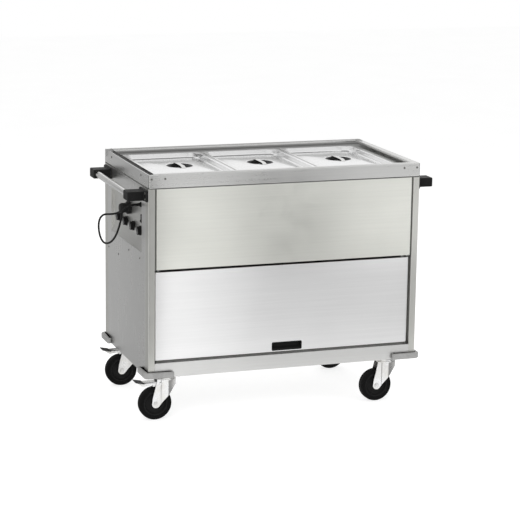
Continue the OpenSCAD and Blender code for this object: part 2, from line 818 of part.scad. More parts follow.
module door_runners() color(black) both_x() {
    block_w = guide_w - 2 * guide_wall - 2 * runner_slack;
    block_d = guide_depth - 2 * guide_wall - 2 * runner_slack;
    stem_w = guide_slot - 3;
    for (z = [door_z0 + runner_in, door_z1 - runner_in - runner_h]) {
        span([guide_x - block_w / 2, guide_y0 + guide_wall + runner_slack, z],
             [guide_x + block_w / 2, guide_y0 + guide_wall + runner_slack + block_d, z + runner_h]);
        span([guide_x - stem_w / 2, door_y1, z],
             [guide_x + stem_w / 2, guide_y0 + guide_wall + runner_slack + 1, z + runner_h]);
    }
}

// Outline of the hole that the pull fills, from the door's middle
pull_z0 = door_z0 + pull_up;
cup_half = pull_w / 2 - 2;

// Front tray with folded edges and a back sheet, with the pull's pocket cut out
module door_panel() color(bright) {
    difference() {
        span([-door_half, door_y0, door_z0], [door_half, door_y1 - skin, door_z1]);
        span([-door_half + skin, door_y0 + skin, door_z0 + skin],
             [door_half - skin, door_y1, door_z1 - skin]);
        span([pull_x - cup_half, door_y0 - 1, pull_z0 + 1.5],
             [pull_x + cup_half, door_y0 + skin + 1, pull_z0 + pull_h - 1.5]);
    }
    span([-door_half, door_y1 - skin, door_z0], [door_half, door_y1, door_z1]);
}

// Moulded finger cup: a proud border, and a hollow that reaches up behind it
module door_pull() color(black) {
    proud = 1.5;
    wall = 2;
    cup_d = door_t - 2 * skin - 1;
    back = door_y0 + skin + cup_d;
    top = pull_z0 + pull_h;
    opening = pull_w / 2 - pull_border;
    difference() {
        union() {
            span([pull_x - pull_w / 2, door_y0 - proud, pull_z0], [pull_x + pull_w / 2, door_y0, top]);
            span([pull_x - cup_half + 0.2, door_y0 - proud, pull_z0 + 1.7],
                 [pull_x + cup_half - 0.2, door_y0 + skin, top - 1.7]);
            span([pull_x - cup_half + 0.2, door_y0 + skin, pull_z0 + 1.7],
                 [pull_x + cup_half - 0.2, back, top + 6]);
        }
        span([pull_x - opening, door_y0 - proud - 1, pull_z0 + pull_border],
             [pull_x + opening, back - wall, top - pull_border]);
        bar_x(pull_x - opening, pull_x + opening)
            polygon([[door_y0 + skin + 2, top - pull_border - 1], [back - wall, top - pull_border - 1],
                     [back - wall, top + 2], [door_y0 + skin + 5, top + 4], [door_y0 + skin + 2, top + 2]]);
    }
}

// ---- Push handles ----

module handle_tube() color(bright) difference() {
    rod_y(handle_x, handle_z, handle_d, -handle_l / 2, handle_l / 2);
    rod_y(handle_x, handle_z, handle_d - 3, -handle_l / 2 - 1, handle_l / 2 + 1);
}

module handle_tube_right() handle_tube();
module handle_tube_left() mirror([1, 0, 0]) handle_tube();

// Moulded bracket: a foot on the post, a waisted arm and a boss round the tube's end
module handle_brackets() color(black) four_corners() difference() {
    foot_z0 = handle_z - foot_h / 2 + 2;
    arm_z0 = handle_z - boss_r;
    union() {
        span([half_l, foot_y1 - foot_w, foot_z0], [half_l + foot_t, foot_y1, foot_z0 + foot_h]);
        plate_xz(arm_y0, arm_y1)
            polygon([[half_l + 1, arm_z0], [half_l + 1, foot_z0 + foot_h],
                     [half_l + foot_t, foot_z0 + foot_h - 1], [half_l + 0.4 * handle_out, handle_z + boss_r - 1],
                     [half_l + 0.7 * handle_out, handle_z + boss_r - 2], [handle_x, handle_z + boss_r - 1],
                     [handle_x, arm_z0]]);
        rod_y(handle_x, handle_z, 2 * boss_r, arm_y0, arm_y1);
    }
    rod_y(handle_x, handle_z, handle_d + 2 * run, arm_y0 - 1, handle_l / 2 + run);
}

// ---- Castors ----

// Fixed half of each castor: top plate, bolt heads, upper race and king pin with its nut
module castor_plates() color(zinc) four_corners() translate([castor_x, castor_y, 0]) {
    plate_z0 = base_z - plate_t;
    translate([0, 0, plate_z0]) linear_extrude(plate_t) rounded(plate_x, plate_y, plate_r);
    translate([0, 0, plate_z0 - race_h]) cylinder(d1 = race_d - 12, d2 = race_d, h = race_h);
    translate([0, 0, crown_z0 - 9]) cylinder(d = king_d, h = plate_z0 - crown_z0 + 9);
    translate([0, 0, crown_z0 - 8.5]) cylinder(d = 1.7 * king_d, h = 8, $fn = 6);
    for (sx = [-1, 1], sy = [-1, 1]) translate([sx * (plate_x / 2 - 11), sy * (plate_y / 2 - 11), plate_z0 - 5])
        cylinder(d = 14, h = 5, $fn = 6);
}

// Side outline of a fork's leg, in X and Z, from the swivel axis: it narrows to the axle
module leg_outline() {
    translate([-trail, axle_z]) circle(r = lobe_r);
    polygon([[-trail - lobe_r, axle_z + 2], [-trail - lobe_r + 3, axle_z + 24],
             [-42, crown_z0 - 6], [-42, crown_z0 + 2], [fork_nose, crown_z0 + 2],
             [fork_nose - 1, crown_z0 - 22], [13, crown_z0 - 55], [-trail + lobe_r - 3, axle_z - 9],
             [-trail, axle_z - lobe_r + 2]]);
}

// Plan of one leg: straight beside the wheel, then creased towards the fork's nose
module leg_plan() {
    outer = leg_y + leg_t;
    polygon([[-trail - lobe_r - 1, leg_y], [crease_x, leg_y], [fork_nose, nose_half - leg_t],
             [fork_nose, nose_half], [crease_x, outer], [-trail - lobe_r - 1, outer]]);
}

module fork_leg() intersection() {
    plate_xz(0, leg_y + leg_t + 1) leg_outline();
    translate([0, 0, axle_z - lobe_r - 1]) linear_extrude(castor_h) leg_plan();
}

// Top of the fork: it joins the two legs and narrows to the nose
module fork_top() {
    outer = leg_y + leg_t;
    polygon([[-42, -outer], [crease_x, -outer], [fork_nose, -nose_half], [fork_nose, nose_half],
             [crease_x, outer], [-42, outer]]);
}

// Pressed fork: crown with its race cup, two legs, a web ahead of the wheel, and its pins
module fork(x, y, braked) translate([x, y, 0]) {
    outer = leg_y + leg_t;
    color(zinc) difference() {
        union() {
            translate([0, 0, crown_z0]) cylinder(d = crown_d, h = crown_t);
            translate([0, 0, crown_z0 + crown_t - 1]) cylinder(d = race_d + 2 * cup_wall, h = 7);
            both_y() fork_leg();
            span([fork_nose - leg_t, -nose_half, crown_z0 - 24], [fork_nose, nose_half, crown_z0 + 2]);
            translate([0, 0, crown_z0]) linear_extrude(leg_t) fork_top();
        }
        translate([0, 0, crown_z0 - 1]) cylinder(d = king_d + 2 * run, h = crown_t + 2);
        translate([0, 0, crown_z0 + crown_t]) cylinder(d = race_d + 1, h = 10);
        rod_y(-trail, axle_z, axle_d + 0.4, -outer - 1, outer + 1);
        if (braked) rod_y(pedal_x, pedal_z, pedal_pin_d + 0.4, -outer - 1, outer + 1);
    }
    color(zinc) {
        rod_y(-trail, axle_z, axle_d, -outer - 4, outer + 4);
        for (s = [-1, 1]) translate([-trail, s * (outer + 2.5), axle_z]) rotate([90, 0, 0])
            cylinder(d = 1.7 * axle_d, h = 5, center = true, $fn = 6);
    }
    if (braked) color(zinc) {
        rod_y(pedal_x, pedal_z, pedal_pin_d, -outer - 1, outer + 1);
        for (s = [-1, 1]) translate([pedal_x, s * (outer + 1), pedal_z]) rotate([90, 0, 0])
            cylinder(d = pedal_pin_d + 4, h = 2, center = true);
    }
}

// Tyre with rounded shoulders on a moulded core with a long hub
module wheel(x, y) translate([x - trail, y, axle_z]) rotate([90, 0, 0]) {
    rim_r = wheel_d / 2 - 17;
    shoulder = 6;
    color(black) rotate_extrude($fn = 96) {
        translate([rim_r, -wheel_w / 2]) square([wheel_d / 2 - shoulder - rim_r, wheel_w]);
        translate([rim_r, -wheel_w / 2 + shoulder]) square([wheel_d / 2 - rim_r, wheel_w - 2 * shoulder]);
        for (s = [-1, 1]) translate([wheel_d / 2 - shoulder, s * (wheel_w / 2 - shoulder)]) circle(r = shoulder);
    }
    color(black) rotate_extrude($fn = 96) {
        hub = fork_gap / 2 - play;
        polygon([[axle_d / 2 + run, -hub], [lobe_r - 2, -hub], [lobe_r, -8], [rim_r - 9, -6],
                 [rim_r - 6, -wheel_w / 2 + 2], [rim_r, -wheel_w / 2 + 2], [rim_r, wheel_w / 2 - 2],
                 [rim_r - 6, wheel_w / 2 - 2], [rim_r - 9, 6], [lobe_r, 8], [lobe_r - 2, hub],
                 [axle_d / 2 + run, hub]]);
    }
}

// Brake pedal: a lever between the fork's legs, with a wide tread and a shoe above the tyre
module pedal(x, y) color(zinc) translate([x, y, 0]) {
    inner = leg_y - 1.5;
    tread = inner + 6;
    tip = -trail - wheel_d / 2 - 17;
    shoe_z = wheel_d + 3.5;
    difference() {
        union() {
            rod_y(pedal_x, pedal_z, pedal_pin_d + 8, -inner, inner);
            plate_xz(-inner, inner)
                polygon([[pedal_x + 5, pedal_z + 2], [pedal_x + 3, pedal_z + 6], [pedal_x - 8, pedal_z + 7],
                         [tip + 34, pedal_z + 3], [tip + 30, pedal_z - 11], [tip + 34, pedal_z - 11],
                         [-trail - 12, pedal_z - 5], [-trail - 12, shoe_z], [-trail + 6, shoe_z],
                         [-trail + 8, pedal_z - 4], [pedal_x + 3, pedal_z - 5]]);
            plate_xz(-tread, tread)
                polygon([[tip + 36, pedal_z + 4], [tip + 30, pedal_z + 6.5], [tip, pedal_z + 12],
                         [tip - 1, pedal_z + 8], [tip + 10, pedal_z + 1], [tip + 28, pedal_z - 11],
                         [tip + 32, pedal_z - 10]]);
        }
        rod_y(pedal_x, pedal_z, pedal_pin_d + 2 * run, -inner - 1, inner + 1);
    }
}

module fork_front_left() fork(-castor_x, -castor_y, true);
module fork_front_right() fork(castor_x, -castor_y, false);
module fork_rear_left() fork(-castor_x, castor_y, true);
module fork_rear_right() fork(castor_x, castor_y, false);
module wheel_front_left() wheel(-castor_x, -castor_y);
module wheel_front_right() wheel(castor_x, -castor_y);
module wheel_rear_left() wheel(-castor_x, castor_y);
module wheel_rear_right() wheel(castor_x, castor_y);
module pedal_front_left() pedal(-castor_x, -castor_y);
module pedal_rear_left() pedal(-castor_x, castor_y);

corner_posts();
bottom_rails();
base_plate();
corner_bumpers();
castor_plates();
rim_front();
rim_rear();
rim_left();
rim_right();
rim_corners();
rim_screws();
worktop();
well_left();
well_centre();
well_right();
well_heaters();
upper_front_panel();
rear_panel();
side_panel_left();
side_panel_right();
control_fascia();
panel_screws();
thermostats();
switch_bezel();
cupboard_floor();
cupboard_ceiling();
cupboard_walls();
cupboard_back();
cupboard_shelf();
cupboard_heater();
door_guides();
handle_tube_left();
handle_tube_right();
handle_brackets();
cord_gland();
mains_cord();
mains_plug();
plug_holder();
door_panel();
door_pull();
door_runners();
lid_left();
lid_centre();
lid_right();
fork_front_left();
fork_front_right();
fork_rear_left();
fork_rear_right();
wheel_front_left();
wheel_front_right();
wheel_rear_left();
wheel_rear_right();
pedal_front_left();
pedal_rear_left();
knob_1();
knob_2();
knob_3();
knob_4();
switch_rocker();
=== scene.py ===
"""Looks of a heated serving trolley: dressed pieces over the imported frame, in metres.

+X runs along the length, +Y to the back and +Z up, with the origin on the floor.
"""
import logging
import math
from collections.abc import Callable
from dataclasses import dataclass
from enum import Enum

import bmesh
import bpy
import numpy as np
from mathutils import Matrix, Vector


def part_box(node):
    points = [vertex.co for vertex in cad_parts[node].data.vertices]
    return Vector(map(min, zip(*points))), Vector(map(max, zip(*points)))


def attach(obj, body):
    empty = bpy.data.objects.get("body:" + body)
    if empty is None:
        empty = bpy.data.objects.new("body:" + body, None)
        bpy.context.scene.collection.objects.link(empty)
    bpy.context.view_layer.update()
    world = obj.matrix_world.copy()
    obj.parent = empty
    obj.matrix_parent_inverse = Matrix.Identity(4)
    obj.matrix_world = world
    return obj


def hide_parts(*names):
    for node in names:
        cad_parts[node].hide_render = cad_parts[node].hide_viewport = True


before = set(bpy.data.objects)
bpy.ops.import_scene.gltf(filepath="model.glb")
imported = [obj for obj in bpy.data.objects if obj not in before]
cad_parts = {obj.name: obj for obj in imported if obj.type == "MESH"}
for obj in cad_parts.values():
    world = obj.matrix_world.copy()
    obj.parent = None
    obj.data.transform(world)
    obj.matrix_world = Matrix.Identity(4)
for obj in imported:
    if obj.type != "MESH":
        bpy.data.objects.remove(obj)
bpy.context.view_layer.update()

log = logging.getLogger("serving_trolley")
Colour = tuple[float, float, float]
Sockets = bpy.types.bpy_prop_collection
MM = 0.001


def mm(*values: float | tuple) -> np.ndarray:
    """Sizes or points given in millimetres, as an array in metres."""
    return np.array(values) * MM


def about(base: tuple, *offsets: tuple) -> np.ndarray:
    """Points, or rows of a table, at offsets in millimetres from a base in metres."""
    return np.asarray(base, float) + mm(*offsets)


# ---------------------------------------------------------------- surfaces


class Axis(Enum):
    """Axis along which an outline is carried."""

    X = "x"
    Y = "y"
    Z = "z"


def unit(vectors: np.ndarray) -> np.ndarray:
    """Vectors divided by their lengths."""
    return vectors / np.linalg.norm(vectors, axis=-1, keepdims=True)


def placed(plan: np.ndarray, height: np.ndarray | float, axis: Axis) -> np.ndarray:
    """Puts plane points (u, v) at a height along an axis.

    X gives (height, u, v), Y gives (u, height, v) and Z gives (u, v, height).

    Args:
        plan: points whose last dimension is (u, v).
        height: one height for all, or one for each point.
        axis: the axis that the height runs along.

    Returns:
        The points in space, with a last dimension of three.
    """
    u, v = plan[..., 0], plan[..., 1]
    h = np.broadcast_to(height, u.shape)
    order = {Axis.X: (h, u, v), Axis.Y: (u, h, v), Axis.Z: (u, v, h)}
    return np.stack(order[axis], axis=-1)


@dataclass(frozen=True)
class Surface:
    """Points in space and the faces between them."""

    points: np.ndarray
    faces: list[list[int]]

    def moved(self, x: float = 0.0, y: float = 0.0, z: float = 0.0) -> "Surface":
        """The same surface, shifted."""
        return Surface(self.points + np.array([x, y, z]), self.faces)

    def mirrored(self, x: bool = False, y: bool = False) -> "Surface":
        """Mirror image across the YZ plane, the XZ plane or both; its normals are made good later."""
        return Surface(self.points * np.array([-1.0 if x else 1.0, -1.0 if y else 1.0, 1.0]), self.faces)

    def turned(self, matrix: Matrix) -> "Surface":
        """The same surface under a matrix that turns and moves it."""
        m = np.array(matrix)
        return Surface(self.points @ m[:3, :3].T + m[:3, 3], self.faces)

    def at_corners(self) -> "Surface":
        """Four copies, one for each corner of the body, from the copy at +X and +Y."""
        return joined(*[self.mirrored(x, y) for x in (False, True) for y in (False, True)])


def joined(*parts: Surface) -> Surface:
    """One surface made of several, each keeping its own faces.

    Args:
        *parts: the surfaces, in order.

    Returns:
        All of them as one surface.
    """
    starts = np.cumsum([0] + [len(p.points) for p in parts])
    faces = [[i + int(s) for i in f] for p, s in zip(parts, starts) for f in p.faces]
    return Surface(np.concatenate([p.points for p in parts]), faces)


def lofted(sections: np.ndarray, capped: bool = True, ring: bool = False) -> Surface:
    """Skin over a row of closed loops.

    Point k of loop i is joined to point k of loop i + 1, and each loop closes on itself.

    Args:
        sections: array of loops by points by three.
        capped: whether the first and last loops are filled.
        ring: whether the last loop joins the first one.

    Returns:
        The skin as one surface.
    """
    m, n = sections.shape[:2]
    row = np.arange(m if ring else m - 1)[:, None]
    col = np.arange(n)[None, :]
    after, right = (row + 1) % m, (col + 1) % n
    corners = np.broadcast_arrays(row * n + col, row * n + right, after * n + right, after * n + col)
    faces = np.stack(corners, axis=-1).reshape(-1, 4).tolist()
    if capped and not ring:
        faces.append(list(range(n))[::-1])
        faces.append([(m - 1) * n + k for k in range(n)])
    return Surface(sections.reshape(-1, 3), faces)


def filleted(corners: list, radius: float | list[float], steps: int = 4, closed: bool = True) -> np.ndarray:
    """Polygon whose corners are replaced by arcs that touch both sides.

    The arc's centre lies on the corner's bisector at radius / sin(half angle), and its points
    are the two touching spokes blended by sines, so that they stay on the circle.

    Args:
        corners: the corner points, in order.
        radius: one radius, or one for each corner.
        steps: how many steps each arc has.
        closed: whether the last corner joins the first; an open line keeps its two ends.

    Returns:
        The points of the rounded outline.
    """
    p = np.asarray(corners, float)
    before, after = unit(np.roll(p, 1, 0) - p), unit(np.roll(p, -1, 0) - p)
    half = np.arccos(np.clip((before * after).sum(1), -1, 1)) / 2
    r = np.maximum(np.broadcast_to(radius, len(p)), 1e-6)
    centre = p + unit(before + after + 1e-12) * (r / np.sin(half))[:, None]
    reach = (r / np.tan(half))[:, None]
    first, last = p + before * reach - centre, p + after * reach - centre
    turn = np.maximum(np.pi - 2 * half, 1e-4)[:, None]
    s = np.linspace(0, 1, steps + 1)[None, :]
    a, b = np.sin((1 - s) * turn) / np.sin(turn), np.sin(s * turn) / np.sin(turn)
    arcs = centre[:, None] + a[..., None] * first[:, None] + b[..., None] * last[:, None]
    if closed:
        return arcs.reshape(-1, p.shape[1])
    return np.concatenate([p[:1], arcs[1:-1].reshape(-1, p.shape[1]), p[-1:]])


def inset(outline: np.ndarray, distance: np.ndarray | float) -> np.ndarray:
    """Outline moved inwards: each point goes along the mean of its two sides' normals, mitred.

    Args:
        outline: closed loop of plane points.
        distance: how far, one for all points or one for each.

    Returns:
        The inner outline.
    """
    ahead = unit(np.roll(outline, -1, 0) - outline)
    normal = np.stack([ahead[:, 1], -ahead[:, 0]], axis=-1)
    mean = unit(normal + np.roll(normal, 1, 0))
    mitre = np.clip((mean * normal).sum(1), 0.5, 1)
    x, y = outline.T
    area = (x * np.roll(y, -1) - y * np.roll(x, -1)).sum()
    return outline - np.sign(area) * mean * (np.asarray(distance) / mitre)[:, None]


def prism(
    outline: np.ndarray, low: float, high: float, axis: Axis, edge: float = 0.0, steps: int = 3
) -> Surface:
    """Solid with one outline all the way and quarter-round rims.

    Near each end the outline is inset by edge * (1 - sin a) while the height comes in by
    edge * (1 - cos a), for a from 0 to 90 degrees.

    Args:
        outline: closed loop of plane points.
        low: where the solid starts along the axis.
        high: where it ends.
        axis: the axis that it is carried along.
        edge: radius of the rims.
        steps: steps of each rim.

    Returns:
        The closed solid.
    """
    if edge <= 0:
        return lofted(np.stack([placed(outline, low, axis), placed(outline, high, axis)]))
    a = np.linspace(0, np.pi / 2, steps + 1)
    ins, rise = edge * (1 - np.sin(a)), edge * (1 - np.cos(a))
    loops = [placed(inset(outline, i), low + r, axis) for i, r in zip(ins, rise)]
    loops += [placed(inset(outline, i), high - r, axis) for i, r in zip(ins[::-1], rise[::-1])]
    return lofted(np.stack(loops))


def rounded_loops(
    half_u: np.ndarray, half_v: np.ndarray, radius: np.ndarray, height: np.ndarray,
    axis: Axis = Axis.Z, steps: int = 8, shift: tuple = (0.0, 0.0),
) -> np.ndarray:
    """Rounded rectangles, one for each entry, at their heights along an axis.

    A point is the corner's centre plus the radius times (cos a, sin a), for a over each quarter.

    Args:
        half_u: half size of each loop along the first plane direction.
        half_v: half size along the second.
        radius: corner radius of each loop.
        height: place of each loop along the axis.
        axis: the axis that the heights run along.
        steps: steps of each corner.
        shift: centre of the loops in the plane, fixed or one for each loop.

    Returns:
        Array of loops by points by three.
    """
    a = (np.arange(4)[:, None] + np.linspace(0, 1, steps + 1)[None, :]).ravel() * np.pi / 2
    quarter = np.repeat(np.arange(4), steps + 1)
    sign_u = np.where((quarter == 0) | (quarter == 3), 1, -1)
    sign_v = np.where(quarter < 2, 1, -1)
    hu, hv, r, h, cu, cv = [
        np.asarray(x, float)[..., None] * np.ones_like(a)
        for x in np.broadcast_arrays(half_u, half_v, radius, height, *shift)
    ]
    u = cu + sign_u * (hu - r) + r * np.cos(a)
    v = cv + sign_v * (hv - r) + r * np.sin(a)
    return placed(np.stack([u, v], axis=-1), h, axis)


def revolved(
    profile: np.ndarray, base: tuple, direction: tuple, steps: int = 48, ring: bool = False
) -> Surface:
    """Surface of revolution: base + axis * height + radius * (side * cos a + other * sin a).

    Args:
        profile: points (radius, height); an open profile starts and ends on the axis.
        base: point of the axis from which the heights count.
        direction: the axis.
        steps: steps round the axis.
        ring: whether the profile is a closed loop clear of the axis.

    Returns:
        The closed surface.
    """
    axis = unit(np.asarray(direction, float))
    helper = np.array([0.0, 0.0, 1.0]) if abs(axis[2]) < 0.9 else np.array([1.0, 0.0, 0.0])
    side = unit(np.cross(axis, helper))
    other = np.cross(axis, side)
    a = np.linspace(0, 2 * np.pi, steps, endpoint=False)[None, :, None]
    r, h = profile[:, 0][:, None, None], profile[:, 1][:, None, None]
    points = np.asarray(base) + axis * h + r * (side * np.cos(a) + other * np.sin(a))
    return lofted(points, capped=False, ring=ring)


def smooth_line(points: list, steps: int) -> np.ndarray:
    """Catmull-Rom line through all the points, with the same number of steps to each stretch.

    Args:
        points: the points that the line goes through.
        steps: how many steps each stretch has.

    Returns:
        The points of the line.
    """
    p = np.asarray(points, float)
    padded = np.concatenate([p[:1], p, p[-1:]])
    a, b, c, d = (padded[i : len(padded) - 3 + i][:, None] for i in range(4))
    t = np.linspace(0, 1, steps, endpoint=False)[None, :, None]
    line = 0.5 * (2 * b + (c - a) * t + (2 * a - 5 * b + 4 * c - d) * t**2 + (3 * b - a - 3 * c + d) * t**3)
    return np.concatenate([line.reshape(-1, 3), p[-1:]])


def tube(path: np.ndarray, radius: np.ndarray | float, sides: int = 16) -> Surface:
    """Round tube along a path: path + radius * (normal * cos a + binormal * sin a).

    The normal is carried from one station to the next by taking away its part along the tangent.

    Args:
        path: stations of the centreline.
        radius: one radius, or one for each station.
        sides: points round the tube.

    Returns:
        The capped tube.
    """
    tangent = unit(np.gradient(path, axis=0))
    normals = [unit(np.cross(tangent[0], [0.31, 0.17, 0.93]))]
    for t in tangent[1:]:
        carried = normals[-1] - np.dot(normals[-1], t) * t
        normals.append(unit(carried))
    normal = np.array(normals)
    binormal = np.cross(tangent, normal)
    a = np.linspace(0, 2 * np.pi, sides, endpoint=False)[None, :, None]
    r = np.broadcast_to(radius, len(path))[:, None, None]
    return lofted(path[:, None] + r * (normal[:, None] * np.cos(a) + binormal[:, None] * np.sin(a)))


def rectangle(u0: float, v0: float, u1: float, v1: float) -> list:
    """Corners of a rectangle between its lowest and highest corner."""
    return [(u0, v0), (u1, v0), (u1, v1), (u0, v1)]


def two_sided(half: list | np.ndarray) -> np.ndarray:
    """One half (u, v) of an outline, followed by its mirror image (u, -v) backwards."""
    half = np.asarray(half, float)
    return np.concatenate([half, (half * [1, -1])[::-1]])


def swung(plan: np.ndarray, degrees: float, centre: tuple) -> np.ndarray:
    """Plane points turned about the origin and then moved to a centre."""
    a = math.radians(degrees)
    return plan @ np.array([(math.cos(a), math.sin(a)), (-math.sin(a), math.cos(a))]) + centre


def hexagon(across: float, turn: float = 0.0) -> np.ndarray:
    """Corners of a hexagon, given its size across the corners."""
    a = np.arange(6) * np.pi / 3 + turn
    return np.stack([np.cos(a), np.sin(a)], axis=-1) * across / 2


# ---------------------------------------------------------------- finishes


class Graph:
    """Short way to add and join the nodes of one tree."""

    def __init__(self, tree: bpy.types.NodeTree) -> None:
        """Keeps the tree that the nodes go into."""
        self.tree = tree

    def put(self, socket: bpy.types.NodeSocket, value: object) -> None:
        """Joins a socket to another one, or sets its constant."""
        if isinstance(value, bpy.types.NodeSocket):
            self.tree.links.new(value, socket)
        else:
            socket.default_value = value

    def add(self, kind: str, inputs: dict | None = None, **settings: object) -> bpy.types.Node:
        """Adds a node.

        Args:
            kind: the node's type.
            inputs: a constant or a socket for each named input.
            **settings: the node's own properties.

        Returns:
            The new node.
        """
        node = self.tree.nodes.new(kind)
        for name, value in settings.items():
            setattr(node, name, value)
        for key, value in (inputs or {}).items():
            self.put(node.inputs[key], value)
        return node

    def maths(self, operation: str, *values: object) -> bpy.types.NodeSocket:
        """One maths step on one or two values.

        Args:
            operation: the step's name.
            *values: a constant or a socket for each input.

        Returns:
            The result's socket.
        """
        node = self.add("ShaderNodeMath", operation=operation)
        for socket, value in zip(node.inputs, values):
            self.put(socket, value)
        return node.outputs[0]

    def times(self, first: object, second: object) -> bpy.types.NodeSocket:
        """Product of two values."""
        return self.maths("MULTIPLY", first, second)

    def noise(self, vector: object, scale: object, detail: float, **more: object) -> bpy.types.NodeSocket:
        """Value of a noise texture; further inputs go by their names."""
        inputs = {"Vector": vector, "Scale": scale, "Detail": detail, **more}
        return self.add("ShaderNodeTexNoise", inputs).outputs["Fac"]

    def spread(
        self, value: object, low: float, high: float, to_low: float = 0.0, to_high: float = 1.0
    ) -> bpy.types.NodeSocket:
        """Maps a value from one range to another, clamped.

        Args:
            value: the value to map.
            low: where its own range starts.
            high: where it ends.
            to_low: what the low end becomes.
            to_high: what the high end becomes.

        Returns:
            The mapped value's socket.
        """
        names = ("Value", "From Min", "From Max", "To Min", "To Max")
        inputs = dict(zip(names, (value, low, high, to_low, to_high)))
        return self.add("ShaderNodeMapRange", inputs).outputs["Result"]

    def mixed(self, factor: object, first: object, second: object) -> bpy.types.NodeSocket:
        """Mix of two colours.

        Args:
            factor: share of the second colour.
            first: one colour or its socket.
            second: the other one.

        Returns:
            The mixed colour's socket.
        """
        node = self.add("ShaderNodeMix", data_type="RGBA")
        for index, value in zip((0, 6, 7), (factor, first, second)):
            self.put(node.inputs[index], (*value, 1.0) if isinstance(value, tuple) else value)
        return node.outputs[2]

    def group(self, tree: bpy.types.NodeTree, **values: object) -> Sockets:
        """Places a node group with its own values and returns its outputs.

        Args:
            tree: the group.
            **values: a constant or a socket for each named input.

        Returns:
            The outputs of the placed group.
        """
        node = self.add("ShaderNodeGroup", node_tree=tree)
        for name, value in values.items():
            self.put(node.inputs[name], value)
        return node.outputs

    def relief(self, shader: bpy.types.Node, height: object, strength: float, distance: float) -> None:
        """Lifts a shader's surface by a height."""
        inputs = {"Height": height, "Strength": strength, "Distance": distance}
        self.put(shader.inputs["Normal"], self.add("ShaderNodeBump", inputs).outputs["Normal"])


def node_group(*outputs: str, **inputs: object) -> Callable:
    """Decorator that turns a function which fills a group into one that builds it once.

    Args:
        *outputs: the names of the group's value outputs.
        **inputs: the default of each named input besides Vector; a tuple makes a vector.

    Returns:
        The decorator.
    """

    def wrap(fill: Callable) -> Callable:
        """Takes the function that fills the group."""

        def build() -> bpy.types.NodeTree:
            """The group, made once and named after its function.

            Returns:
                The group's tree.
            """
            name = fill.__name__
            if name in bpy.data.node_groups:
                return bpy.data.node_groups[name]
            tree = bpy.data.node_groups.new(name, "ShaderNodeTree")
            for label, value in {"Vector": (0.0, 0.0, 0.0), **inputs}.items():
                kind = "NodeSocketVector" if isinstance(value, tuple) else "NodeSocketFloat"
                tree.interface.new_socket(label, in_out="INPUT", socket_type=kind).default_value = value
            for label in outputs:
                tree.interface.new_socket(label, in_out="OUTPUT", socket_type="NodeSocketFloat")
            graph = Graph(tree)
            fill(graph, graph.add("NodeGroupInput").outputs, graph.add("NodeGroupOutput").inputs)
            return tree

        return build

    return wrap


@node_group("Height", "Tone", Stretch=(8.0, 500.0, 500.0))
def brushed_grain(g: Graph, given: Sockets, out: Sockets) -> None:
    """Fine streaks: noise in coordinates that are squeezed across the brushing direction.

    Args:
        g: the group's graph.
        given: the group's inputs.
        out: the group's outputs.
    """
    inputs = {0: given["Vector"], 1: given["Stretch"]}
    squeezed = g.add("ShaderNodeVectorMath", inputs, operation="MULTIPLY").outputs[0]
    fine = g.noise(squeezed, 1.0, 4.0, Roughness=0.7)
    tone = g.maths("ADD", g.times(fine, 0.55), g.times(g.noise(squeezed, 0.16, 2.0), 0.45))
    g.put(out["Height"], fine)
    g.put(out["Tone"], g.spread(tone, 0.36, 0.64))


@node_group("Mask", Size=4.0)
def soft_smudge(g: Graph, given: Sockets, out: Sockets) -> None:
    """Cloudy wiping marks: two noises of different size, one bent by distortion.

    Args:
        g: the group's graph.
        given: the group's inputs.
        out: the group's outputs.
    """
    wide = g.noise(given["Vector"], given["Size"], 3.0, Distortion=0.8)
    small = g.noise(given["Vector"], g.times(given["Size"], 5.3), 2.0, Distortion=1.4)
    total = g.maths("ADD", g.times(wide, 0.7), g.times(small, 0.3))
    g.put(out["Mask"], g.spread(total, 0.38, 0.66))


@node_group("Mask", Amount=0.5)
def edge_wear(g: Graph, given: Sockets, out: Sockets) -> None:
    """Sharp convex places of the mesh, broken up by noise: rubbed edges on the plastics, and on the zinc
    partly painted shade at bends.

    Args:
        g: the group's graph.
        given: the group's inputs.
        out: the group's outputs.
    """
    edge = g.spread(g.add("ShaderNodeNewGeometry").outputs["Pointiness"], 0.515, 0.60)
    broken = g.times(edge, g.spread(g.noise(given["Vector"], 140.0, 3.0), 0.4, 0.65))
    g.put(out["Mask"], g.times(broken, given["Amount"]))


@node_group("Mask", Amount=0.3)
def settled_dust(g: Graph, given: Sockets, out: Sockets) -> None:
    """Dust on faces that look up, thicker where a noise is high.

    Args:
        g: the group's graph.
        given: the group's inputs.
        out: the group's outputs.
    """
    normal = g.add("ShaderNodeNewGeometry").outputs["Normal"]
    up = g.add("ShaderNodeSeparateXYZ", {"Vector": normal}).outputs["Z"]
    patchy = g.spread(g.noise(given["Vector"], 38.0, 5.0, Roughness=0.65), 0.35, 0.7, 0.2, 1.0)
    g.put(out["Mask"], g.times(g.times(g.spread(up, 0.1, 0.95, 0.15, 1.0), patchy), given["Amount"]))


@node_group("Height", Scale=900.0)
def moulded_grain(g: Graph, given: Sockets, out: Sockets) -> None:
    """Spark-eroded mould texture: small cells with rounded pits, and finer noise in them.

    Args:
        g: the group's graph.
        given: the group's inputs.
        out: the group's outputs.
    """
    inputs = {"Vector": given["Vector"], "Scale": given["Scale"]}
    cells = g.add("ShaderNodeTexVoronoi", inputs, feature="SMOOTH_F1").outputs["Distance"]
    fine = g.noise(given["Vector"], given["Scale"], 3.0)
    g.put(out["Height"], g.maths("ADD", cells, g.times(fine, 0.6)))


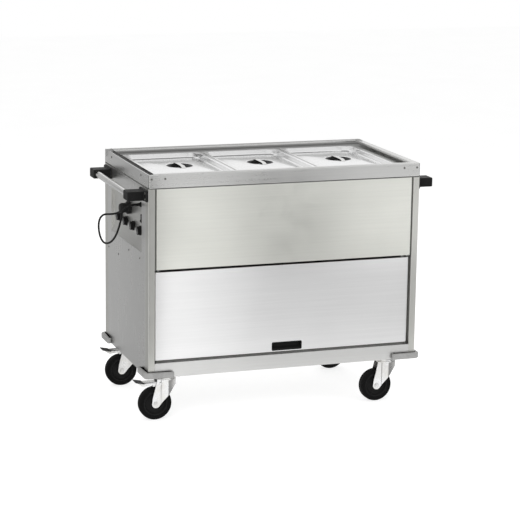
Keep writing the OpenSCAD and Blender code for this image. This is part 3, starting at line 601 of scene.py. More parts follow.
@node_group("Tone", "Cloud", Scale=220.0)
def plating_spangle(g: Graph, given: Sockets, out: Sockets) -> None:
    """Faint crystal cells of zinc plating: each cell keeps one random tone.

    Args:
        g: the group's graph.
        given: the group's inputs.
        out: the group's outputs.
    """
    cells = g.add("ShaderNodeTexVoronoi", {"Vector": given["Vector"], "Scale": given["Scale"]})
    tone = g.add("ShaderNodeSeparateColor", {"Color": cells.outputs["Color"]}).outputs[0]
    g.put(out["Tone"], tone)
    cloud = g.noise(given["Vector"], 22.0, 4.0, Distortion=0.5)
    g.put(out["Cloud"], g.spread(cloud, 0.35, 0.68))


class GrainRun(Enum):
    """Direction in which a sheet was brushed, as squeezes per metre."""

    ALONG_X = (7.0, 800.0, 800.0)
    ALONG_Y = (800.0, 7.0, 800.0)
    ALONG_Z = (800.0, 800.0, 7.0)


@dataclass(frozen=True)
class Finish:
    """Base of the finishes: one Principled shader whose colour, gloss and relief come from nodes."""

    name: str
    slot: str
    colour: Colour
    roughness: float

    def build(self) -> bpy.types.Material:
        """The finish's material, made once.

        Returns:
            The material.
        """
        if self.name in bpy.data.materials:
            return bpy.data.materials[self.name]
        material = bpy.data.materials.new(self.name)
        material.use_nodes = True
        graph = Graph(material.node_tree)
        shader = material.node_tree.nodes["Principled BSDF"]
        where = graph.add("ShaderNodeTexCoord").outputs["Object"]
        self.dress(graph, shader, where)
        return material

    def dress(self, graph: Graph, shader: bpy.types.Node, where: bpy.types.NodeSocket) -> None:
        """Fills the material's tree; each kind of finish has its own way."""
        raise NotImplementedError

    def toned(self, factor: float) -> Colour:
        """The finish's colour, lighter or darker by a factor."""
        return tuple(min(1.0, c * factor) for c in self.colour)


@dataclass(frozen=True)
class BrushedSteel(Finish):
    """Stainless sheet: streaks along the brushing, cloudy wiping marks and a soft gloss."""

    run: GrainRun = GrainRun.ALONG_X
    relief: float = 0.06
    contrast: float = 0.028
    smudge: float = 0.05
    smudge_size: float = 5.0

    def dress(self, graph: Graph, shader: bpy.types.Node, where: bpy.types.NodeSocket) -> None:
        """Streaks tint the colour and lift the surface; smudges dull it.

        Args:
            graph: the material's graph.
            shader: its Principled shader.
            where: object coordinates in metres.
        """
        shader.inputs["Metallic"].default_value = 1.0
        grain = graph.group(brushed_grain(), Vector=where, Stretch=self.run.value)
        smudge = graph.group(soft_smudge(), Vector=where, Size=self.smudge_size)["Mask"]
        base = graph.mixed(grain["Tone"], self.toned(1 - self.contrast), self.toned(1 + self.contrast))
        veiled = graph.mixed(graph.times(smudge, self.smudge * 4), base, self.toned(1 - self.smudge))
        graph.put(shader.inputs["Base Color"], veiled)
        low, high = self.roughness - self.smudge / 2, self.roughness + self.smudge
        gloss = graph.maths(
            "ADD", graph.spread(smudge, 0.0, 1.0, low, high), graph.times(grain["Tone"], 0.05)
        )
        graph.put(shader.inputs["Roughness"], gloss)
        graph.relief(shader, grain["Height"], self.relief, 0.0004)


@dataclass(frozen=True)
class ZincPlate(Finish):
    """Bright zinc plating with faint cells, cloudy passivation and darker sharp edges, partly rubbed wear and
    partly painted shade at the forks' bends.
    """

    cell: float = 260.0

    def dress(self, graph: Graph, shader: bpy.types.Node, where: bpy.types.NodeSocket) -> None:
        """Cells and clouds tint the metal and vary its gloss.

        Args:
            graph: the material's graph.
            shader: its Principled shader.
            where: object coordinates in metres.
        """
        shader.inputs["Metallic"].default_value = 1.0
        spangle = graph.group(plating_spangle(), Vector=where, Scale=self.cell)
        # Darker at sharp convex edges: partly rubbed wear, partly painted shade at the forks' crease.
        wear = graph.group(edge_wear(), Vector=where, Amount=0.9)["Mask"]
        cells = graph.mixed(spangle["Tone"], self.toned(0.93), self.toned(1.05))
        warm = tuple(c * tint for c, tint in zip(self.colour, (0.97, 0.94, 0.86)))
        clouded = graph.mixed(graph.times(spangle["Cloud"], 0.5), cells, warm)
        graph.put(shader.inputs["Base Color"], graph.mixed(wear, clouded, self.toned(0.7)))
        gloss = graph.spread(spangle["Cloud"], 0.0, 1.0, self.roughness - 0.06, self.roughness + 0.1)
        graph.put(shader.inputs["Roughness"], gloss)
        graph.relief(shader, spangle["Tone"], 0.06, 0.0003)


@dataclass(frozen=True)
class MouldedPlastic(Finish):
    """Moulded plastic or rubber: fine mould texture, settled dust and pale rubbed edges."""

    texture: float = 900.0
    relief: float = 0.25
    dust: float = 0.02
    dust_colour: Colour = (0.30, 0.29, 0.27)
    wear: float = 0.25
    sheen_level: float = 0.07

    def dress(self, graph: Graph, shader: bpy.types.Node, where: bpy.types.NodeSocket) -> None:
        """Dust and wear lie over the plastic's own slightly uneven colour.

        Args:
            graph: the material's graph.
            shader: its Principled shader.
            where: object coordinates in metres.
        """
        shader.inputs["Specular IOR Level"].default_value = self.sheen_level
        uneven = graph.group(soft_smudge(), Vector=where, Size=30.0)["Mask"]
        dust = graph.group(settled_dust(), Vector=where, Amount=self.dust)["Mask"]
        wear = graph.group(edge_wear(), Vector=where, Amount=self.wear)["Mask"]
        base = graph.mixed(uneven, self.toned(0.88), self.toned(1.12))
        worn = graph.mixed(wear, base, tuple(0.6 * c + 0.10 for c in self.colour))
        graph.put(shader.inputs["Base Color"], graph.mixed(dust, worn, self.dust_colour))
        dull = graph.spread(uneven, 0.0, 1.0, self.roughness - 0.05, self.roughness + 0.06)
        graph.put(shader.inputs["Roughness"], graph.maths("ADD", dull, graph.times(dust, 0.4)))
        grain = graph.group(moulded_grain(), Vector=where, Scale=self.texture)["Height"]
        graph.relief(shader, grain, self.relief, 0.0003)


class Finishes:
    """All the trolley's finishes."""

    # The steel pieces are one stainless steel toned per piece: lighter on the door and lids, darker on the
    # side panels, posts, fascia and worktop. These tone steps are painted light and shade for how each piece
    # is lit.
    panel = BrushedSteel("panel_steel", "steel", (0.80, 0.805, 0.755), 0.33)
    door = BrushedSteel("door_sheet_steel", "door_steel", (0.89, 0.89, 0.89), 0.30, smudge=0.03)
    side = BrushedSteel("side_steel", "steel", (0.63, 0.63, 0.62), 0.27, GrainRun.ALONG_Z, smudge=0.03)
    post = BrushedSteel("post_steel", "steel", (0.60, 0.60, 0.57), 0.30, GrainRun.ALONG_Z)
    rail = BrushedSteel("rail_steel", "steel", (0.66, 0.66, 0.65), 0.32)
    rim = BrushedSteel("rim_steel", "bright_steel", (0.66, 0.66, 0.65), 0.27, smudge=0.03)
    rim_side = BrushedSteel(
        "rim_side_steel", "bright_steel", (0.66, 0.66, 0.65), 0.27, GrainRun.ALONG_Y, smudge=0.03
    )
    top = BrushedSteel("worktop_steel", "bright_steel", (0.48, 0.48, 0.47), 0.28)
    lid = BrushedSteel(
        "lid_steel", "bright_steel", (0.84, 0.84, 0.84), 0.16, relief=0.04, contrast=0.012, smudge=0.04
    )
    basin = BrushedSteel(
        "basin_steel", "bright_steel", (0.66, 0.66, 0.65), 0.30, GrainRun.ALONG_Z, relief=0.08
    )
    tube = BrushedSteel(
        "tube_steel", "bright_steel", (0.74, 0.74, 0.73), 0.16, GrainRun.ALONG_Y, relief=0.04, contrast=0.015
    )
    # Near-black steel for the finger recess's wall: painted shade for the dark inside of the recess.
    recess = BrushedSteel(
        "recess_painted_shade", "bright_steel", (0.055, 0.055, 0.055), 0.36, GrainRun.ALONG_Y,
        relief=0.04, contrast=0.06,
    )
    seam = BrushedSteel(
        "seam_steel", "bright_steel", (0.05, 0.05, 0.048), 0.45, GrainRun.ALONG_Z, relief=0.04, contrast=0.06
    )
    fascia = BrushedSteel("fascia_steel", "steel", (0.60, 0.60, 0.58), 0.33, GrainRun.ALONG_Y)
    inside = BrushedSteel("cupboard_steel", "steel", (0.62, 0.62, 0.60), 0.38)
    zinc = ZincPlate("zinc_plating", "zinc", (0.77, 0.772, 0.775), 0.28)
    screw = ZincPlate("screw_plating", "screws", (0.20, 0.20, 0.19), 0.36, cell=500.0)
    aluminium = BrushedSteel(
        "guide_aluminium", "aluminium", (0.70, 0.705, 0.71), 0.36, GrainRun.ALONG_Z, relief=0.05
    )
    heater = MouldedPlastic("heater_pad", "heater", (0.34, 0.16, 0.10), 0.6, texture=500.0, dust=0.2)
    bumper = MouldedPlastic(
        "bumper_rubber", "bumper", (0.30, 0.30, 0.295), 0.5, texture=700.0, dust=0.12, sheen_level=0.3
    )
    black = MouldedPlastic("black_moulding", "black_plastic", (0.010, 0.010, 0.010), 0.45)
    knob = MouldedPlastic(
        "knob_moulding", "black_plastic", (0.006, 0.006, 0.006), 0.40, texture=1400.0, relief=0.12
    )
    # The grip is the knobs' black plastic made mid grey: a painted highlight for the light that its upward
    # face catches.
    grip = MouldedPlastic(
        "grip_highlight_moulding", "black_plastic", (0.13, 0.13, 0.13), 0.34,
        texture=1400.0, relief=0.08, sheen_level=0.5,
    )
    inlay = MouldedPlastic(
        "grip_inlay", "black_plastic", (0.50, 0.50, 0.49), 0.36, texture=1400.0, relief=0.12
    )
    seal = MouldedPlastic(
        "sealing_strip", "black_rubber", (0.13, 0.13, 0.125), 0.5, texture=1200.0, relief=0.12
    )
    nylon = MouldedPlastic("white_nylon", "nylon", (0.72, 0.71, 0.66), 0.45, texture=600.0, sheen_level=0.4)
    cord = MouldedPlastic(
        "cord_rubber", "black_rubber", (0.007, 0.007, 0.007), 0.55, texture=1200.0, relief=0.15
    )
    tyre = MouldedPlastic(
        "tyre_rubber", "tyre", (0.004, 0.004, 0.004), 0.62, texture=650.0, relief=0.35, dust=0.02
    )
    tread = MouldedPlastic("tread_plastic", "black_plastic", (0.045, 0.045, 0.045), 0.5)
    ink = MouldedPlastic("dial_ink", "black_plastic", (0.78, 0.78, 0.76), 0.5, dust=0.02, wear=0.1)


# ---------------------------------------------------------------- pieces


SHARP = 38.0  # degrees past which an edge stays sharp
FLAT = 0.8  # degrees between two CAD faces that are one flat face
WELD = 2e-6  # metres between points that are one point
CAD_WELD = 2e-5  # the same for the points of a CAD mesh


def make_piece(
    name: str, surface: Surface, finish: Finish, replaced: str = "",
    body: str = "carcass", sharp: float = SHARP,
) -> bpy.types.Object:
    """Turns a surface into a finished piece that rides on a body.

    Args:
        name: the piece's name.
        surface: its points and faces.
        finish: its finish.
        replaced: the CAD node that it stands for, if there is one.
        body: the body that it moves with.
        sharp: angle in degrees past which an edge stays sharp.

    Returns:
        The new object.
    """
    mesh = bpy.data.meshes.new(name)
    mesh.from_pydata(surface.points.tolist(), [], surface.faces)
    work = bmesh.new()
    work.from_mesh(mesh)
    bmesh.ops.remove_doubles(work, verts=work.verts, dist=WELD)
    bmesh.ops.recalc_face_normals(work, faces=work.faces)
    finish_mesh(work, mesh, sharp)
    return dress_piece(bpy.data.objects.new(name, mesh), finish, replaced, body)


def finish_mesh(work: bmesh.types.BMesh, mesh: bpy.types.Mesh, sharp: float) -> None:
    """Writes a worked mesh back and smooths all but the sharp edges.

    Args:
        work: the worked mesh, which is freed.
        mesh: the mesh that it goes into.
        sharp: angle in degrees past which an edge stays sharp.
    """
    work.to_mesh(mesh)
    work.free()
    mesh.shade_smooth()
    mesh.set_sharp_from_angle(angle=math.radians(sharp))


def dress_piece(
    piece: bpy.types.Object, finish: Finish, replaced: str, body: str
) -> bpy.types.Object:
    """Links a piece, gives it its finish, and sets it on its body.

    Args:
        piece: the new object.
        finish: its finish.
        replaced: the CAD node that it stands for, if there is one.
        body: the body that it moves with.

    Returns:
        The same object.
    """
    bpy.context.scene.collection.objects.link(piece)
    weighted = piece.modifiers.new("weighted_normals", "WEIGHTED_NORMAL")
    weighted.keep_sharp = True
    piece.data.materials.clear()
    piece.data.materials.append(finish.build())
    if replaced:
        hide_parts(replaced)
    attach(piece, body)
    log.info("%-26s %6d faces, on %s", piece.name, len(piece.data.polygons), body)
    return piece


def softened_copy(node: str, finish: Finish, width: float, body: str = "carcass") -> bpy.types.Object:
    """Merged copy of a CAD node with its edges rounded, standing for the node.

    Args:
        node: the CAD node.
        finish: the copy's finish.
        width: width of the rounded edges.
        body: the body that it rides on.

    Returns:
        The copy.
    """
    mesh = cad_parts[node].data.copy()
    mesh.name = node + "_dressed"
    work = bmesh.new()
    work.from_mesh(mesh)
    bmesh.ops.remove_doubles(work, verts=work.verts, dist=CAD_WELD)
    bmesh.ops.dissolve_limit(work, angle_limit=math.radians(FLAT), verts=work.verts, edges=work.edges)
    finish_mesh(work, mesh, SHARP)
    piece = bpy.data.objects.new(mesh.name, mesh)
    bevel = piece.modifiers.new("rounded_edges", "BEVEL")
    bevel.width = width
    bevel.segments = 2
    bevel.limit_method = "ANGLE"
    bevel.angle_limit = math.radians(SHARP)
    return dress_piece(piece, finish, node, body)


@dataclass(frozen=True)
class ScrewHead:
    """Domed screw head with a cross recess, standing on its seat."""

    diameter: float
    height: float
    recess: float = 1.1 * MM

    def surface(self) -> Surface:
        """Loops from the seat over the rounded rim and the dome, then down into the cross.

        The recess is the loop r * (0.42 + 0.58 * |cos 2a| ^ 4), a four-armed rose.

        Returns:
            The head, with its seat on the plane z = 0.
        """
        r, h = self.diameter / 2, self.height
        a = np.linspace(0, 2 * np.pi, 32, endpoint=False)
        rose = 0.42 + 0.58 * np.abs(np.cos(2 * a)) ** 4
        round_radii = [(r, 0.0), (r, 0.45 * h), (0.93 * r, 0.78 * h), (0.72 * r, 0.95 * h), (0.62 * r, h)]
        cross_radii = [(0.56 * r, h), (0.50 * r, h - 0.3 * self.recess), (0.34 * r, h - self.recess)]
        rows = [(np.full_like(a, q), z) for q, z in round_radii] + [(rose * q, z) for q, z in cross_radii]
        radii = np.stack([q for q, _ in rows])
        heights = np.array([z for _, z in rows])[:, None]
        plan = np.stack([radii * np.cos(a), radii * np.sin(a)], axis=-1)
        return lofted(placed(plan, np.broadcast_to(heights, radii.shape), Axis.Z))

    def on(self, seat: tuple, outward: tuple, twist: float = 0.0) -> Surface:
        """The head on a seat, facing outwards, its cross turned by a twist."""
        turn = Vector(outward).to_track_quat("Z", "Y").to_matrix().to_4x4() @ Matrix.Rotation(twist, 4, "Z")
        return self.surface().turned(Matrix.Translation(seat) @ turn)


@dataclass(frozen=True)
class BodySizes:
    """Main levels of the body."""

    half_l: float = 0.550
    half_d: float = 0.320
    rim_top: float = 0.970
    rim_z0: float = 0.916
    deck: float = 0.950
    base: float = 0.183
    rail_top: float = 0.240
    post_in: float = 0.525


BODY = BodySizes()
WELL_PITCH = 0.333


LAMPS = {  # where each lamp hangs, what it faces, its size and its power
    "key_lamp": ((-2.6, -3.6, 3.2), (0.0, 0.0, 0.6), (2.2, 2.2), 95.0),
    "fill_lamp": ((3.4, -2.6, 2.0), (0.0, 0.0, 0.6), (2.0, 2.4), 40.0),
    "top_lamp": ((0.2, 0.6, 3.6), (0.0, 0.0, 0.9), (3.0, 2.4), 55.0),
    "back_lamp": ((0.8, 3.6, 2.4), (0.0, 0.0, 0.7), (2.4, 2.0), 40.0),
}
# The cards glow with a grey that only the steel's reflections see: painted reflections that put shade into
# the panels, door, sides, posts, rim, lids and forks.
CARDS = {  # the lowest and highest corner of each card, and the grey that the steel sees
    "rim_card": ((-1.2, -1.5, 0.66), (0.55, -1.5, 0.90), 0.60),
    "rim_card_right": ((0.55, -1.5, 0.66), (1.6, -1.5, 0.90), 0.48),
    "panel_card": ((0.23, -1.49, 0.30), (0.62, -1.49, 0.74), 0.02),
    "door_card": ((-0.18, -1.05, 0.0), (1.5, -1.05, 0.45), 0.86),
    "door_card_right": ((0.04, -0.95, 0.0), (1.5, -0.95, 0.45), 0.64),
    "post_card": ((-0.53, -0.70, 0.12), (-0.42, -0.70, 0.90), 0.05),
    "side_card": ((-0.88, 0.75, 0.0), (-0.57, 0.75, 1.2), 0.54),
    "side_card_front": ((-2.2, 0.75, 0.0), (-0.88, 0.75, 1.2), 0.36),
    "side_floor_card": ((-1.5, -0.5, 0.004), (-0.57, 0.75, 0.004), 0.46),
    "lid_card": ((-0.45, 2.31, 0.0), (3.4, 2.31, 1.10), 0.20),
    "ceiling_card": ((-1.1, -0.9, 2.7), (1.1, 0.7, 2.7), 0.28),
    "rear_lip_card": ((-0.56, 0.302, 0.942), (0.56, 0.302, 0.990), 0.36),
    "left_rim_card": ((-0.5235, -0.29, 0.9705), (-0.5235, 0.33, 1.030), 0.04),
    "castor_card_left": ((-0.355, -0.374, 0.0), (-0.355, -0.20, 0.160), 0.30),
    "castor_card_right": ((0.565, -0.374, 0.0), (0.565, -0.20, 0.160), 0.30),
}


@dataclass
class Studio:
    """Camera, lamps, world and floor."""

    focal: float = 133.65
    sensor: float = 36.0
    far_clip: float = 60.0
    yaw: float = 19.30
    pitch: float = 12.37
    roll: float = 0.80
    eye: tuple = (-2.495, -7.141, 2.205)
    ambient: float = 0.62
    floor_half: float = 14.0
    floor_glow: float = 0.72
    floor_tones: tuple = (0.42, 0.44)

    def place_camera(self) -> None:
        """Camera at the photograph's viewing angle, built from its yaw, pitch and roll."""
        yaw, pitch, roll = (math.radians(v) for v in (self.yaw, self.pitch, self.roll))
        ahead = Vector((math.sin(yaw) * math.cos(pitch), math.cos(yaw) * math.cos(pitch), -math.sin(pitch)))
        right = Vector((math.cos(yaw), -math.sin(yaw), 0.0))
        up = right.cross(ahead)
        tilted_right = math.cos(roll) * right + math.sin(roll) * up
        tilted_up = math.cos(roll) * up - math.sin(roll) * right
        camera = bpy.data.cameras.new("photo_camera")
        camera.lens = self.focal
        camera.sensor_width = self.sensor
        camera.clip_end = self.far_clip
        obj = bpy.data.objects.new("photo_camera", camera)
        turn = Matrix((tilted_right, tilted_up, -ahead)).transposed().to_4x4()
        obj.matrix_world = Matrix.Translation(self.eye) @ turn
        bpy.context.scene.collection.objects.link(obj)
        bpy.context.scene.camera = obj

    def light_world(self) -> None:
        """White where it is seen or mirrored, and a dimmer even light elsewhere."""
        world = bpy.data.worlds.new("studio_world")
        world.use_nodes = True
        bpy.context.scene.world = world
        graph = Graph(world.node_tree)
        path = graph.add("ShaderNodeLightPath").outputs
        seen = graph.maths("MAXIMUM", path["Is Camera Ray"], path["Is Glossy Ray"])
        seen = graph.maths("MAXIMUM", seen, path["Is Transmission Ray"])
        background = world.node_tree.nodes["Background"]
        background.inputs["Color"].default_value = (1.0, 1.0, 1.0, 1.0)
        graph.put(background.inputs["Strength"], graph.spread(seen, 0.0, 1.0, self.ambient, 1.0))

    def hang_lamp(self, name: str, place: tuple, aim: tuple, size: tuple, power: float) -> None:
        """Rectangular lamp that faces a point.

        Args:
            name: the lamp's name.
            place: where it hangs.
            aim: the point that it faces.
            size: its width and height.
            power: its power in watts.
        """
        lamp = bpy.data.lights.new(name, "AREA")
        lamp.shape = "RECTANGLE"
        lamp.size, lamp.size_y = size
        lamp.energy = power
        obj = bpy.data.objects.new(name, lamp)
        turn = (Vector(aim) - Vector(place)).to_track_quat("-Z", "Y").to_matrix().to_4x4()
        obj.matrix_world = Matrix.Translation(place) @ turn
        obj.visible_glossy = False
        bpy.context.scene.collection.objects.link(obj)

    def glowing_sheet(self, name: str, corners: list, grey: float, strength: float) -> bpy.types.Object:
        """Sheet with four corners whose material has no gloss and shines by itself.

        Args:
            name: the sheet's and its material's name.
            corners: its corners, in order.
            grey: the tone that it shines with.
            strength: how strongly it does.

        Returns:
            The new object, in no collection yet.
        """
        mesh = bpy.data.meshes.new(name)
        mesh.from_pydata(corners, [], [(0, 1, 2, 3)])
        material = bpy.data.materials.new(name)
        material.use_nodes = True
        shader = material.node_tree.nodes["Principled BSDF"]
        shader.inputs["Specular IOR Level"].default_value = 0.0
        shader.inputs["Emission Color"].default_value = (grey, grey, grey, 1.0)
        shader.inputs["Emission Strength"].default_value = strength
        mesh.materials.append(material)
        return bpy.data.objects.new(name, mesh)

    def set_down(self, sheet: bpy.types.Object) -> None:
        bpy.context.scene.collection.objects.link(sheet)

    def stand_card(self, name: str, low: tuple, high: tuple, grey: float) -> None:
        """Grey card that only the steel mirrors; it is unseen and casts no shadow. Its glow paints a darker
        reflection into the steel.

        Args:
            name: the card's name.
            low: its lowest corner.
            high: its highest corner, level with the other along one axis.
            grey: the tone that the steel sees.
        """
        (x0, y0, z0), (x1, y1, z1) = low, high
        second, fourth = ((x0, y1, z0), (x0, y0, z1)) if x0 == x1 else ((x1, y0, z0), (x0, y1, z1))
        card = self.glowing_sheet(name, [low, second, high, fourth], grey, 1.0)
        material = card.data.materials[0]
        material.cycles.emission_sampling = "NONE"
        material.node_tree.nodes["Principled BSDF"].inputs["Base Color"].default_value = (0.0, 0.0, 0.0, 1.0)
        for ray in ("camera", "diffuse", "transmission", "volume_scatter", "shadow"):
            setattr(card, "visible_" + ray, False)
        self.set_down(card)

    def lay_floor(self) -> None:
        """Pale floor: part of its brightness is its own, so it meets the white background."""
        h = self.floor_half
        corners = [(x, y, 0) for x, y in rectangle(-h, -h, h, h)]
        floor = self.glowing_sheet("studio_floor", corners, 1.0, self.floor_glow)
        graph = Graph(floor.data.materials[0].node_tree)
        shader = graph.tree.nodes["Principled BSDF"]
        where = graph.add("ShaderNodeTexCoord").outputs["Object"]
        haze = graph.group(soft_smudge(), Vector=where, Size=2.0)["Mask"]
        tones = [(tone, tone, tone) for tone in self.floor_tones]
        graph.put(shader.inputs["Base Color"], graph.mixed(haze, *tones))
        shader.inputs["Roughness"].default_value = 0.9
        self.set_down(floor)

    def build(self) -> None:
        """Sets the whole studio up."""
        bpy.context.scene.view_settings.view_transform = "Standard"
        self.place_camera()
        self.light_world()
        self.lay_floor()
        for name, lamp in LAMPS.items():
            self.hang_lamp(name, *lamp)
        for name, card in CARDS.items():
            self.stand_card(name, *card)


@dataclass
class MainsLead:
    """Cord from its gland to the plug, which is parked in a holder on the control panel."""

    diameter: float = 0.008
    fascia_x: float = -0.538
    gland: tuple = (-0.174, 0.831)
    gland_base: float = 0.004
    gland_nose: float = 0.022
    plug: tuple = (-0.015, 0.790)
    plug_d: float = 0.039
    plug_l: float = 0.036
    plug_x: float = -0.5443
    neck_reach: float = 0.048
    neck_drop: float = 30.0
    pin_d: float = 0.0048
    pin_l: float = 0.019
    holder_d: float = 0.050
    holder_t: float = 0.014
    cup: float = 0.008
    route: tuple = (
        (-0.5775, -0.1708, 0.8288), (-0.5890, -0.1664, 0.8239), (-0.5988, -0.1599, 0.8155),
        (-0.6047, -0.1522, 0.8044), (-0.6060, -0.1430, 0.7903), (-0.6030, -0.1280, 0.7730),
        (-0.6030, -0.1040, 0.7440), (-0.6025, -0.0760, 0.7160), (-0.6020, -0.0440, 0.6900),
        (-0.6020, -0.0080, 0.6670), (-0.6030, 0.0330, 0.6470), (-0.6050, 0.0770, 0.6330),
        (-0.6080, 0.1190, 0.6280), (-0.6100, 0.1580, 0.6370), (-0.6110, 0.1840, 0.6610),
        (-0.6110, 0.1870, 0.6930), (-0.6080, 0.1680, 0.7200), (-0.6010, 0.1360, 0.7370),
        (-0.5910, 0.0980, 0.7450), (-0.5790, 0.0620, 0.7530),
    )

    @property
    def neck_x(self) -> float:
        """Where the plug's neck stands along X."""
        return self.plug_x - self.plug_l + 0.012

    @property
    def start(self) -> tuple:
        """Where the cord leaves the gland's nose."""
        return (self.fascia_x - self.gland_base - self.gland_nose, *self.gland)

    @property
    def end(self) -> tuple:
        """Where the cord meets the plug's neck."""
        drop = math.radians(self.neck_drop)
        return (
            self.neck_x,
            self.plug[0] + self.neck_reach * math.cos(drop),
            self.plug[1] - self.neck_reach * math.sin(drop),
        )

    def plug_surface(self) -> Surface:
        """Round body with finger grooves, and the tapered neck with its rings.

        Returns:
            The plug without its pins.
        """
        side = about(
            (self.plug_d / 2, 0), (0, 0), (0, 9), (-1.2, 10), (-1.2, 12), (0, 13),
            (0, 16), (-1.2, 17), (-1.2, 19), (0, 20), (0, 28), (-4.5, 36),
        )
        body = filleted([(0, 0), *side, (0, 36 * MM)], mm(0, 0.8, *[0.5] * 8, 3, 2.5, 0), 3, closed=False)
        round_body = revolved(body, (self.plug_x, *self.plug), (-1, 0, 0), 40)
        drop = math.radians(self.neck_drop)
        base, tip, length = 8 * MM, self.diameter / 2 + 1 * MM, self.neck_reach
        rings = [(0.0, 0.012), (base, 0.012)]
        for k in range(4):
            near = 0.024 + k * 0.0055
            wide = base + (tip - base) * (near - 0.015) / (length - 0.015)
            rings += [*about((wide, near), (0, 0), (-1.1, 0.6), (-1.1, 2.2), (-0.2, 2.8))]
        rings += [(tip, length), (0.0, length)]
        neck = revolved(np.array(rings), (self.neck_x, *self.plug), (0, math.cos(drop), -math.sin(drop)), 24)
        return joined(round_body, neck)

    def pins_surface(self) -> Surface:
        """Two round pins with softened tips.

        Returns:
            Both pins as one surface.
        """
        outline = rectangle(0, -2 * MM, self.pin_d / 2, self.pin_l)
        profile = filleted(outline, mm(0, 0, 1.2, 0), 3, closed=False)
        y, z = self.plug
        feet = [(self.plug_x, y + s * 9.5 * MM, z) for s in (-1, 1)]
        return joined(*[revolved(profile, foot, (1, 0, 0), 20) for foot in feet])

    def holder_surface(self) -> Surface:
        """Parking cup: a thick ring with a rounded mouth and two pin sockets behind it.

        Returns:
            The closed cup.
        """
        r, inner, stem = self.holder_d / 2, self.plug_d / 2 + 0.5 * MM, self.plug_d / 2 + 1.8 * MM
        floor = self.holder_t - self.cup
        corners = [(0, -17 * MM), (stem, -17 * MM), (stem, 0), (r, 0)]
        corners += [(r, self.holder_t), (inner, self.holder_t), (inner, floor), (0, floor)]
        profile = filleted(corners, mm(0, 1.5, 0.3, 0.3, 2.2, 1.2, 0.5, 0), 4, closed=False)
        return revolved(profile, (self.fascia_x, *self.plug), (-1, 0, 0), 48)

    def gland_surface(self) -> Surface:
        """Hexagonal base ring, then a tapered nose with six bending slots shown as rings.

        Returns:
            The closed gland.
        """
        low, high = 7 * MM, self.diameter / 2 + 1 * MM
        rows = [*mm((0, 0), (10, 0), (10, 3.2), (9.2, 4)), (low, self.gland_base)]
        for k in range(5):
            z = self.gland_base + 3 * MM + k * 3.6 * MM
            r = low + (high - low) * (z - self.gland_base) / self.gland_nose
            rows += [*about((r, z), (0, 0), (-0.9, 0.4), (-0.9, 1.7), (-0.15, 2.1))]
        rows += [(high, self.gland_base + self.gland_nose), (0.0, self.gland_base + self.gland_nose)]
        return revolved(np.array(rows), (self.fascia_x, *self.gland), (-1, 0, 0), 32)

    def build(self) -> None:
        """Makes the cord with its plug, the holder and the gland."""
        path = smooth_line([self.start, *self.route, self.end], 8)
        plug = make_piece("plug_body", self.plug_surface(), Finishes.black, "mains_plug")
        pins = make_piece("plug_pins", self.pins_surface(), Finishes.zinc)
        cord = make_piece("cord_lead", tube(path, self.diameter / 2, 14), Finishes.cord, "mains_cord")
        make_piece("plug_cup", self.holder_surface(), Finishes.black, "plug_holder")
        make_piece("gland_nose", self.gland_surface(), Finishes.black, "cord_gland")


